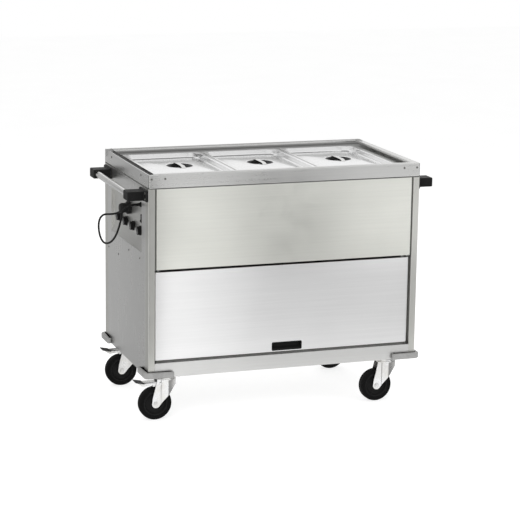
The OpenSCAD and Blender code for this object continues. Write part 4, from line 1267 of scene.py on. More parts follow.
@dataclass
class Rim:
    """Folded rim round the worktop: four rails, four pressed corners and their screws."""

    height: float = 0.054
    width: float = 0.025
    sheet: float = 0.002
    lip: float = 0.009
    fold: float = 0.0015
    leg: float = 0.050
    nose: float = 0.0045
    screw_d: float = 0.008
    screw_out: float = 0.012
    screw_in: float = 0.065
    screw_side: float = 0.105

    def profile(self) -> np.ndarray:
        """Closed outline of the folded sheet: u inwards from the outer face, v up from its foot.

        Returns:
            The outline's points.
        """
        w, h, t, f = self.width, self.height, self.sheet, self.fold
        corners = [(w / 2, 0), (0, 0), (0, h), (w, h), (w, h - self.lip), (w - t, h - self.lip),
                   (w - t, h - t), (t, h - t), (t, t), (w / 2, t)]
        e = 0.3 * MM
        return filleted(corners, [e, f + t, f + t, f + t, e, e, f, f, f, e], 5)

    def rail(self, axis: Axis, half: float) -> Surface:
        """A straight rail carried between two ends, at the front or at the left.

        Args:
            axis: the axis that the rail runs along.
            half: half of its length.

        Returns:
            The rail, X for the front one and Y for the left one.
        """
        u, v = self.profile().T
        offset = -BODY.half_d if axis is Axis.X else -BODY.half_l
        plan = np.stack([u + offset, v + BODY.rim_z0], axis=-1)
        return prism(plan, -half, half, axis)

    def corner(self) -> Surface:
        """Corner piece at +X +Y: the profile carried round an L whose outer turn is rounded.

        Point u of the profile follows the line at distance u inside the L. Its turn is an arc of
        radius nose - u round (nose, nose), or the sharp corner (u, u) once u passes the nose.

        Returns:
            The closed corner piece.
        """
        u, v = self.profile().T
        a = np.linspace(0, np.pi / 2, 9)[:, None]
        r = np.maximum(self.nose - u, 0)[None, :]
        centre = np.maximum(u, self.nose)[None, :]
        turn_x, turn_y = centre - r * np.sin(a[::-1]), centre - r * np.cos(a[::-1])
        ends = np.full((1, len(u)), self.leg)
        x = np.concatenate([ends * 0 + u, turn_x, ends])
        y = np.concatenate([ends, turn_y, ends * 0 + u])
        height = np.broadcast_to(v + BODY.rim_z0, x.shape)
        return lofted(np.stack([BODY.half_l - x, BODY.half_d - y, height], axis=-1))

    def screws(self) -> Surface:
        """Twelve screws on the rim's outer faces, their crosses at different turns.

        Returns:
            All twelve heads as one surface.
        """
        head = ScrewHead(self.screw_d, 2 * MM)
        z = BODY.deck + 2 * MM
        seats = [((BODY.half_l - i, BODY.half_d, z), (0, 1, 0)) for i in (self.screw_out, self.screw_in)]
        seats.append(((BODY.half_l, BODY.half_d - self.screw_side, z), (1, 0, 0)))
        parts = []
        for sx in (1, -1):
            for sy in (1, -1):
                for k, (p, d) in enumerate(seats):
                    seat, out = (p[0] * sx, p[1] * sy, p[2]), (d[0] * sx, d[1] * sy, 0)
                    parts.append(head.on(seat, out, 0.7 * k + 0.9 * sx + 0.4 * sy))
        return joined(*parts)

    def bead(self) -> Surface:
        """Dark bead below the rim, all round the body: a sealant strip that also stands in for the shadow
        line under the rim, as painted shade. Its section is a flat lozenge.

        Returns:
            The bead, a closed ring.
        """
        out, deep, tall = 0.25 * MM, 14 * MM, 2.6 * MM
        z = BODY.rim_z0 - tall / 2
        grow, height = np.array([-deep, out, out, -deep]), z + np.array([-1, -1, 1, 1]) * tall / 2
        return lofted(
            rounded_loops(BODY.half_l + grow, BODY.half_d + grow, mm(1, 4, 4, 1), height, steps=6), ring=True
        )

    def seams(self) -> Surface:
        """Weld lines down the four outer corners of the rim.

        Returns:
            All four lines as one surface.
        """
        out = self.nose * (1 - math.sqrt(0.5))
        line = filleted(hexagon(2.4 * MM), 0.4 * MM, 2) + [BODY.half_l - out, BODY.half_d - out]
        return prism(line, BODY.rim_z0 + 1 * MM, BODY.rim_top - 2 * MM, Axis.Z, 0.3 * MM, 2).at_corners()

    def build(self) -> None:
        """Makes the rails, corners and screws, and dresses the worktop."""
        long_half, short_half = BODY.half_l - self.leg, BODY.half_d - self.leg
        front, left = self.rail(Axis.X, long_half), self.rail(Axis.Y, short_half)
        make_piece("rim_front_rail", front, Finishes.rim, "rim_front")
        make_piece("rim_rear_rail", front.mirrored(y=True), Finishes.rim, "rim_rear")
        make_piece("rim_left_rail", left, Finishes.rim_side, "rim_left")
        make_piece("rim_right_rail", left.mirrored(x=True), Finishes.rim_side, "rim_right")
        make_piece("rim_corner_pieces", self.corner().at_corners(), Finishes.rim, "rim_corners")
        make_piece("rim_screw_heads", self.screws(), Finishes.screw, "rim_screws")
        # The dark bead is partly painted shade under the rim.
        make_piece("rim_bead", self.bead(), Finishes.seal)
        make_piece("rim_corner_seams", self.seams(), Finishes.seam)
        softened_copy("worktop", Finishes.top, 0.6 * MM)


@dataclass
class CoveredWell:
    """One drawn basin with its lid on top; the heating plate below it is dressed with the cupboard."""

    name: str
    x: float
    half_l: float = 0.1525
    half_w: float = 0.253
    radius: float = 0.042
    floor_radius: float = 0.018
    depth: float = 0.180
    sheet: float = 0.002
    flange: float = 0.009
    lid_half_l: float = 0.1625
    lid_half_w: float = 0.265
    lid_radius: float = 0.018
    lid_t: float = 0.0012
    gap: float = 0.0012
    sink: float = 0.020
    crown: float = 0.013
    dish_r: float = 0.0535
    dish_wall: float = 0.014
    dish_depth: float = 0.012
    foot_fillet: float = 0.005
    bend: float = 0.002
    strap_w: float = 0.017
    strap_t: float = 0.002
    strap_rise: float = 0.0045

    def basin_face(self, out: float) -> np.ndarray:
        """Loops of one side of the basin's sheet, from the flange's edge to the floor.

        Args:
            out: 0 for the inner side, the sheet's thickness for the outer one.

        Returns:
            Array of loops by points by three.
        """
        top = BODY.deck - self.sheet - out
        floor = BODY.deck - self.depth - out
        r = self.floor_radius + out
        a = np.linspace(0, np.pi / 2, 8)
        neck, middle = [self.flange, *(out + mm(1.5, 0.4, 0))], out - r - 6 * MM
        grow = np.concatenate([neck, out - r * (1 - np.cos(a)), [middle]])
        z = np.concatenate([top - mm(0, 0, 0.4, 1.5), floor + r * (1 - np.sin(a)), [floor]])
        radius = np.maximum(self.radius + grow, 2 * MM)
        return rounded_loops(self.half_l + grow, self.half_w + grow, radius, z, steps=10)

    def basin(self) -> Surface:
        """Closed shell between the basin's inner and outer sides."""
        return lofted(np.concatenate([self.basin_face(0.0)[::-1], self.basin_face(self.sheet)]))

    def lid_face(self, drop: float) -> np.ndarray:
        """Loops of one side of the lid's sheet, from the dish's floor to the flange's edge.

        The dish falls as (1 - cos 180 t) / 2, the crown rises as sin 90 t from the skirt's foot
        to the dish, and the foot and the flange's bend are quarter rounds.

        Args:
            drop: 0 for the upper side, the sheet's thickness for the lower one.

        Returns:
            Array of loops by points by three.
        """
        top = BODY.deck + self.lid_t
        edge = top - self.sink
        hl, hw = self.half_l - self.gap - self.lid_t, self.half_w - self.gap - self.lid_t
        r = self.radius - self.gap - self.lid_t
        t = np.linspace(1, 0, 10)[:-1]
        dish_r = self.dish_r - self.dish_wall * t
        dish_z = edge + self.crown - self.dish_depth * (1 - np.cos(np.pi * t)) / 2 - drop
        c = np.linspace(1, 0, 16)
        f = self.foot_fillet
        crown = [(1 - c) * (s - f) + c * self.dish_r for s in (hl, hw, r)]
        crown_z = edge + self.crown * np.sin(c * np.pi / 2) - drop
        a = np.linspace(0, np.pi / 2, 6)[1:]
        foot = -(f * (1 - np.sin(a)) - drop * np.sin(a))
        foot_z = edge + f * (1 - np.cos(a)) - drop * np.cos(a)
        b = np.linspace(0, np.pi / 2, 5)
        bend = self.bend * (1 - np.cos(b)) + drop * np.cos(b)
        bend_z = top - self.bend * (1 - np.sin(b)) - drop * np.sin(b)
        rims = np.concatenate([foot, bend])
        flange = (self.lid_half_l, self.lid_half_w, self.lid_radius)
        sizes = [
            np.concatenate([dish_r, up, foot_size + rims, edge_size - mm(0.4, 0)])
            for up, foot_size, edge_size in zip(crown, (hl, hw, r), flange)
        ]
        last = top - drop + mm(0, 0.3 if drop else -0.3)
        z = np.concatenate([dish_z, crown_z, foot_z, bend_z, last])
        return rounded_loops(*sizes, z, steps=12)

    def lid(self) -> Surface:
        """Closed shell between the lid's upper and lower sides."""
        return lofted(np.concatenate([self.lid_face(0.0), self.lid_face(self.lid_t)[::-1]]))

    def strap(self) -> Surface:
        """Bowed strip: its side outline, with rounded bends, carried across its width.

        Returns:
            The strap with its two rivets.
        """
        reach, foot, bow = self.dish_r + 2 * MM, 10 * MM, 14 * MM
        rise, t, k = self.strap_rise, self.strap_t, 0.4 * MM
        under = [(reach - bow, rise), (reach, 0), (reach + foot, 0)]
        over = [(reach + foot, t), (reach - k, t), (reach - bow - k, rise + t)]
        corners = [(-u, v) for u, v in under[::-1]] + under + over + [(-u, v) for u, v in over[::-1]]
        bend = mm(0.5, 14, 18, 18, 14, 0.5, 0.9, 12, 20, 20, 12, 0.9)
        base = BODY.deck + self.lid_t - self.sink + self.crown - 1 * MM
        outline = filleted(corners, bend, 5) + np.array([0.0, base])
        strip = prism(outline, -self.strap_w / 2, self.strap_w / 2, Axis.X, 0.5 * MM, 2)
        dome = mm((0.0, 0.0), (3.2, 0.0), (3.1, 0.5), (2.2, 1.1), (0.0, 1.4))
        rivets = [revolved(dome, (0.0, s * (reach + foot / 2), base + t), (0, 0, 1), 20) for s in (-1, 1)]
        return joined(strip, *rivets)

    def recess(self) -> Surface:
        """Near-black band on the dish's wall, painted shade for the dark inside of the finger recess: the
        wall's own curve, lifted by a third of a millimetre.

        Returns:
            The band, a closed ring.
        """
        t = np.linspace(1, 0.12, 10)
        lift = 0.35 * MM
        top = BODY.deck + self.lid_t - self.sink + self.crown
        wall_r = self.dish_r - self.dish_wall * t - lift
        wall_z = top - self.dish_depth * (1 - np.cos(np.pi * t)) / 2 + lift
        upper = np.stack([wall_r, wall_z], axis=-1)
        lower = (upper + [1.2 * lift, -1.2 * lift])[::-1]
        return revolved(np.concatenate([upper, lower]), (0, 0, 0), (0, 0, 1), 64, ring=True)

    def build(self) -> None:
        """Makes the basin, the lid, its strap and the painted shade band in its finger recess."""
        body = "lid_" + self.name
        make_piece("basin_" + self.name, self.basin().moved(x=self.x), Finishes.basin, "well_" + self.name)
        make_piece(
            "cover_" + self.name, self.lid().moved(x=self.x), Finishes.lid, "lid_" + self.name, body=body
        )
        # Painted shade band over the finger recess's wall.
        make_piece("recess_" + self.name, self.recess().moved(x=self.x), Finishes.recess, body=body)
        make_piece("strap_" + self.name, self.strap().moved(x=self.x), Finishes.tube, body=body)


@dataclass
class Carcass:
    """Posts, rails, outer panels, bumpers and their screws."""

    bumper_out: float = 0.018
    bumper_h: float = 0.023
    bumper_arm: float = 0.100
    screw_d: float = 0.007
    seal_top: float = 0.2452
    seal_half: float = 0.515
    staggered: tuple = ((0.262, 0.579), (0.113, 0.579), (-0.041, 0.628), (-0.199, 0.628))

    def bumper(self) -> Surface:
        """L-shaped buffer at +X +Y with round ends and softly rounded rims.

        Returns:
            The closed buffer.
        """
        out, arm = self.bumper_out, self.bumper_arm
        end = out / 2 - 0.01 * MM
        corners = [(-arm, 0), (0, 0), (0, -arm), (out, -arm), (out, out), (-arm, out)]
        outline = filleted(corners, [end, 0.3 * MM, end, end, out + 4 * MM, end], 7)
        low = BODY.base + 1 * MM
        return prism(outline + [BODY.half_l, BODY.half_d], low, low + self.bumper_h, Axis.Z, 4.5 * MM, 5)

    def screws(self) -> Surface:
        """Screws of the two side panels and of the rear panel.

        Returns:
            All the heads as one surface.
        """
        head = ScrewHead(self.screw_d, 1.75 * MM, 0.8 * MM)
        sides = [
            head.on((s * BODY.half_l, y, z), (s, 0, 0), 9 * y) for y, z in self.staggered for s in (-1, 1)
        ]
        levels = (BODY.rail_top + 25 * MM, BODY.rim_z0 - 25 * MM)
        rows = [(x * BODY.post_in, z) for x in (-0.9, -0.3, 0.3, 0.9) for z in levels]
        return joined(*sides, *[head.on((x, BODY.half_d, z), (0, 1, 0), 5 * x + z) for x, z in rows])

    def seals(self) -> Surface:
        """Rubber strips between the upper front panel and its posts, and one below the door.

        Returns:
            The three strips as one surface.
        """
        low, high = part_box("upper_front_panel")
        strip = about((low[0], low[1]), *rectangle(-8, 6, 8, 7.6))
        left = prism(filleted(strip, 0.4 * MM, 2), low[2], high[2], Axis.Z)
        foot, edge = BODY.rail_top - 0.3 * MM, self.seal_top
        wedge = [(-0.303, foot), (-0.290, foot), (-0.292, edge), (-0.301, edge)]
        sill = prism(filleted(wedge, 0.5 * MM, 2), -self.seal_half, self.seal_half, Axis.X)
        return joined(left, left.mirrored(x=True), sill)

    def build(self) -> None:
        """Makes or dresses each piece of the carcass."""
        copies = {
            "corner_posts": (Finishes.post, 1.6), "bottom_rails": (Finishes.rail, 1.6),
            "upper_front_panel": (Finishes.panel, 1.0), "side_panel_left": (Finishes.side, 0.7),
            "side_panel_right": (Finishes.side, 0.7), "rear_panel": (Finishes.side, 0.7),
            "base_plate": (Finishes.rail, 0.7),
        }
        for node, (finish, width) in copies.items():
            softened_copy(node, finish, width * MM)
        make_piece("panel_seals", self.seals(), Finishes.seal)
        make_piece("bumper_corners", self.bumper().at_corners(), Finishes.bumper, "corner_bumpers")
        make_piece("panel_screw_heads", self.screws(), Finishes.screw, "panel_screws")


@dataclass
class Cupboard:
    """Inside of the heated cupboard, the door's guides and the rising door."""

    door_half: float = 0.519
    door_z0: float = 0.2465
    door_z1: float = 0.5925
    door_y0: float = -0.306
    door_y1: float = -0.286
    skin: float = 0.001
    pull_x: float = 0.014
    pull_w: float = 0.124
    pull_h: float = 0.034
    pull_z0: float = 0.2515
    proud: float = 0.0015

    def door(self) -> Surface:
        """Closed tray with folded edges and a window for the pull.

        Loops run from the back sheet's outline over the folded front edge, across the front to the
        window, through the skin, and back along the inner side.

        Returns:
            The door with its back sheet.
        """
        mid, tall = (self.door_z0 + self.door_z1) / 2, (self.door_z1 - self.door_z0) / 2
        half, fold = self.door_half, 2.6 * MM
        hole = (self.pull_w / 2 - 2 * MM, self.pull_h / 2 - 1.5 * MM)
        hole_z = self.pull_z0 + self.pull_h / 2
        a = np.linspace(0, np.pi / 2, 6)
        ins = fold * (1 - np.cos(a))
        y = self.door_y0 + fold * (1 - np.sin(a))
        behind, skin = self.door_y0 + self.skin, self.skin
        back = (half, tall, 0, self.door_y1, 0, mid)
        rows = [*about(back, (-0.4, -0.4, 1, 0, 0, 0), (0, 0, 1.4, -0.4, 0, 0))]
        rows += [(half - i, tall - i, 1.4 * MM, d, 0, mid) for i, d in zip(ins, y)]
        rows += [(*hole, 2 * MM, d, self.pull_x, hole_z) for d in (self.door_y0, behind)]
        rows += [(half - skin, tall - skin, 1 * MM, d, 0, mid) for d in (behind, self.door_y1 - skin)]
        table = np.array(rows)
        return lofted(rounded_loops(*table[:, :4].T, axis=Axis.Y, steps=4, shift=(table[:, 4], table[:, 5])))

    def pull(self) -> Surface:
        """Moulded finger cup: a proud border, a sloping lower lip and a deep pocket, in one closed shell.

        Returns:
            The closed cup.
        """
        hw, hh = self.pull_w / 2, self.pull_h / 2
        z = self.pull_z0 + hh
        front, face = self.door_y0 - self.proud, self.door_y0
        pocket = self.door_y1 - self.skin - 1.2 * MM
        outside = about((hw, hh, 0, pocket, z), (-2.6, -2.2, 2.5, 0, 0), (-2.2, -1.8, 3, -0.6, 0))
        flange = about(
            (hw, hh, 0, face, z), (-2.2, -1.8, 3, 0, 0), (-0.3, -0.3, 4.5, 0, 0), (0, 0, 5, -0.3, 0)
        )
        border = about(
            (hw, hh, 0, front, z), (0, 0, 5, 0.7, 0), (-0.3, -0.3, 4.8, 0.2, 0), (-0.9, -0.9, 4.3, 0, 0),
            (-2.4, -2.6, 3.4, 0, 0.3), (-3.2, -3.4, 3, 0.5, 0.6), (
                -3.7, -4.9, 2.6, 3.5, 1.9
            ), (-4, -6, 2.4, 7, 2.6),
        )
        inside = about((hw, hh, 0, pocket, z), (-4.2, -6.2, 2.4, -2.4, 2.6), (-5.4, -7.4, 1.6, -1.6, 2.6))
        table = np.concatenate([outside, flange, border, inside])
        return lofted(rounded_loops(*table[:, :4].T, axis=Axis.Y, steps=6, shift=(self.pull_x, table[:, 4])))

    def build(self) -> None:
        """Makes the door and its pull, and dresses the inside."""
        make_piece("door_tray", self.door(), Finishes.door, "door_panel", body="door")
        make_piece("pull_cup", self.pull(), Finishes.black, "door_pull", body="door")
        softened_copy("door_runners", Finishes.nylon, 0.8 * MM, body="door")
        softened_copy("door_guides", Finishes.aluminium, 0.4 * MM)
        for node in (
            "cupboard_floor", "cupboard_ceiling", "cupboard_walls", "cupboard_back", "cupboard_shelf"
        ):
            softened_copy(node, Finishes.inside, 0.5 * MM)
        softened_copy("cupboard_heater", Finishes.heater, 2.0 * MM)
        softened_copy("well_heaters", Finishes.heater, 1.5 * MM)


@dataclass
class Controls:
    """Recessed control panel: four thermostat knobs, the mains switch and their printed dials."""

    fascia_x: float = -0.538
    neck_l: float = 0.002
    play: float = 0.0005
    first_y: float = -0.174
    pitch: float = 0.100
    knob_z: float = 0.730
    knob_d: float = 0.038
    skirt_t: float = 0.004
    knob_l: float = 0.019
    shaft_d: float = 0.006
    bore_l: float = 0.017
    switch: tuple = (-0.192, 0.778)
    switch_w: float = 0.028
    switch_h: float = 0.034
    border: float = 0.004
    tilt: float = 8.0

    def knob(self, y: float) -> Surface:
        """Skirt, low body and shaft as one turned shape.

        Args:
            y: where the knob stands along Y.

        Returns:
            The knob without its grip.
        """
        back = self.fascia_x - self.neck_l - self.play
        r, d = self.knob_d / 2, self.knob_d
        top = self.skirt_t + 9.5 * MM
        tail, stem, dish = 2 * MM - self.bore_l, self.shaft_d / 2, top - 1.2 * MM
        profile = filleted(
            [(0, tail), (stem, tail), (stem, 0), (r, 0), (r, self.skirt_t), (0.44 * d, self.skirt_t),
             (0.42 * d, top), (0.36 * d, top), (0.34 * d, dish), (0, dish)],
            mm(0, 0.5, 0.4, 0.6, 1.4, 0.8, 0.8, 0.6, 0.6, 0), 4, closed=False)
        return revolved(profile, (back, y, self.knob_z), (-1, 0, 0), 56)

    def grip(self, y: float) -> Surface:
        """Tapered bar set at 45 degrees across the knob, its narrow end up and to the rear.

        Args:
            y: where the knob stands along Y.

        Returns:
            The closed bar.
        """
        back, d = self.fascia_x - self.neck_l - self.play, self.knob_d
        corners = np.array([(-0.13, -0.385), (0.13, -0.385), (0.10, 0.385), (-0.10, 0.385)]) * d
        plan = swung(filleted(corners, 0.08 * d, 5), -45, (y, self.knob_z))
        return prism(plan, back - self.knob_l, back - self.skirt_t, Axis.X, 1.5 * MM, 4)

    def pointer(self, y: float) -> Surface:
        """Grey inlay along the grip's crest, wider and square at the pointing end.

        Args:
            y: where the knob stands along Y.

        Returns:
            The closed inlay.
        """
        line = filleted(mm((-1.7, -11.5), (1.7, -11.5), (2.4, 12.2), (-2.4, 12.2)), 0.8 * MM, 3)
        plan = swung(line, -45, (y, self.knob_z))
        crest = self.fascia_x - self.neck_l - self.play - self.knob_l
        return prism(plan, crest - 0.3 * MM, crest + 0.6 * MM, Axis.X, 0.2 * MM, 2)

    def dial(self, y: float) -> Surface:
        """Printed ticks on the panel: eleven short bars over 300 degrees, every fifth one longer.

        Args:
            y: where the knob stands along Y.

        Returns:
            All the ticks as one surface.
        """
        parts = []
        for k in range(11):
            length = 4.4 if k % 5 == 0 else 2.8
            bar = about((0, self.knob_d / 2 + 3.4 * MM), *rectangle(-0.35, 0, 0.35, length))
            plan = swung(bar, 30 * k - 135, (y, self.knob_z))
            parts.append(prism(plan, self.fascia_x - 0.12 * MM, self.fascia_x + 0.1 * MM, Axis.X))
        return joined(*parts)

    def bezel(self) -> Surface:
        """Switch frame: loops from the housing behind the panel, round the rim and into the well.

        Returns:
            The closed frame.
        """
        y, z = self.switch
        hw, hh, b = self.switch_w / 2, self.switch_h / 2, self.border
        x = self.fascia_x
        outside = about(
            (hw, hh, 0, x), (-2, -2, 1, 20), (-1.7, -1.7, 1, 0), (0, 0, 2.4, 0),
            (0, 0, 2.4, -2.4), (-0.5, -0.5, 2.2, -3.6), (-1.4, -1.4, 2, -4),
        )
        inside = about((hw - b, hh - b, 0, x), (0.6, 0.6, 1, -4), (0, 0, 0.8, -3.2), (0, 0, 0.8, 15))
        table = np.concatenate([outside, inside])
        return lofted(rounded_loops(*table.T, axis=Axis.X, steps=5, shift=(y, z)))

    def rocker(self) -> Surface:
        """Rocker: a cylinder's side seen along Y, its front pressed into a shallow V, tipped to off.

        Returns:
            The closed rocker.
        """
        y, z = self.switch
        half = self.switch_w / 2 - self.border - self.play
        r = self.switch_h / 2 - self.border - self.play
        front = np.linspace(1, -1, 15)
        face = np.stack([-(4.5 * MM + 3.0 * MM * front**2), front * 0.88 * r], axis=-1)
        back = np.array([(4 * MM, -0.86 * r), (4 * MM, 0.86 * r)])
        plan = swung(np.concatenate([face, back]), -self.tilt, (self.fascia_x, z))
        return prism(plan, y - half, y + half, Axis.Y, 0.7 * MM, 3)

    def build(self) -> None:
        """Makes the knobs, dials and switch, and dresses the panel."""
        softened_copy("control_fascia", Finishes.fascia, 1.0 * MM)
        softened_copy("thermostats", Finishes.nylon, 1.2 * MM)
        centres = [self.first_y + i * self.pitch for i in range(4)]
        make_piece("dial_prints", joined(*[self.dial(y) for y in centres]), Finishes.ink)
        for i, y in enumerate(centres, 1):
            make_piece(f"knob_{i}_turned", self.knob(y), Finishes.knob, f"knob_{i}", body=f"knob_{i}")
            # Grip in the lighter grey finish, a painted highlight.
            make_piece(f"knob_{i}_grip", self.grip(y), Finishes.grip, body=f"knob_{i}")
            make_piece(f"knob_{i}_pointer", self.pointer(y), Finishes.inlay, body=f"knob_{i}")
        make_piece("switch_frame", self.bezel(), Finishes.black, "switch_bezel")
        make_piece("rocker_key", self.rocker(), Finishes.knob, "switch_rocker", body="switch_rocker")


@dataclass
class PushHandles:
    """Handle tubes at both ends, each in two moulded brackets."""

    tube_d: float = 0.025
    out: float = 0.054
    z: float = 0.884
    half: float = 0.280
    wall: float = 0.0055
    foot_t: float = 0.008
    foot_h: float = 0.044
    foot_w: float = 0.100
    foot_y1: float = 0.312
    arm_y0: float = 0.222
    arm_y1: float = 0.286

    def tube_surface(self) -> Surface:
        """Tube at +X, a ring profile turned about its axis.

        Returns:
            The tube, open at its ends.
        """
        r = self.tube_d / 2
        ring = filleted(rectangle(r - 1.5 * MM, -self.half, r, self.half), 0.5 * MM, 2)
        return revolved(ring, (BODY.half_l + self.out, 0, self.z), (0, 1, 0), 48, ring=True)

    def bracket(self) -> Surface:
        """Bracket at +X +Y: a low foot and a square-ended block that the tube plugs into.

        The block's loops follow a small flare at the foot and a quarter round at the end.

        Returns:
            Foot, block and the collar round the tube.
        """
        r = self.tube_d / 2 + self.wall - 0.1 * MM
        foot_mid, foot_z = self.foot_y1 - self.foot_w / 2, self.z + 2 * MM
        x0 = BODY.half_l
        fx, fi = mm(0, 4.5, 6.6, 7.7, 8), mm(0, 0, 0.7, 2, 3.6)
        sizes = (self.foot_w / 2 - fi, self.foot_h / 2 - fi, 6 * MM - fi / 2)
        foot = lofted(rounded_loops(*sizes, x0 + fx, Axis.X, 7, (foot_mid, foot_z)))
        mid, half = (self.arm_y0 + self.arm_y1) / 2, (self.arm_y1 - self.arm_y0) / 2
        a, edge = np.linspace(0, np.pi / 2, 6), 3.5 * MM
        reach = np.concatenate([mm(3, 8, 9.5, 11), self.out + r - edge * (1 - np.sin(a))])
        grow = np.concatenate([mm(2, 1.8, 0.6, 0), -edge * (1 - np.cos(a))])
        sizes = (half + grow, r + grow, 4.5 * MM + grow * 0.6)
        arm = lofted(rounded_loops(*sizes, x0 + reach, Axis.X, 6, (mid, self.z)))
        collar = about((self.tube_d / 2, self.arm_y0), (0.1, -1.6), (2.2, -1.6), (2.8, 2), (0.1, 2))
        collar = filleted(collar, mm(0.3, 0.8, 0.3, 0.3), 3)
        ring = revolved(collar, (x0 + self.out, 0, self.z), (0, 1, 0), 48, ring=True)
        return joined(foot, arm, ring)

    def foot_screws(self) -> Surface:
        """Two screws on the wide end of a foot, at +X +Y.

        Returns:
            Both heads as one surface.
        """
        head = ScrewHead(9 * MM, 2.4 * MM, 1.2 * MM)
        x, y, z = BODY.half_l + self.foot_t - 0.3 * MM, self.foot_y1 - 13 * MM, self.z + 2 * MM
        return joined(*[head.on((x, y, z + dz), (1, 0, 0), 0.4 + dz * 90) for dz in mm(-11, 11)])

    def build(self) -> None:
        """Makes both tubes, the four brackets and their screws."""
        make_piece("push_bar_right", self.tube_surface(), Finishes.tube, "handle_tube_right")
        make_piece("push_bar_left", self.tube_surface().mirrored(x=True), Finishes.tube, "handle_tube_left")
        make_piece("push_bar_brackets", self.bracket().at_corners(), Finishes.black, "handle_brackets")
        make_piece("bracket_screw_heads", self.foot_screws().at_corners(), Finishes.screw)


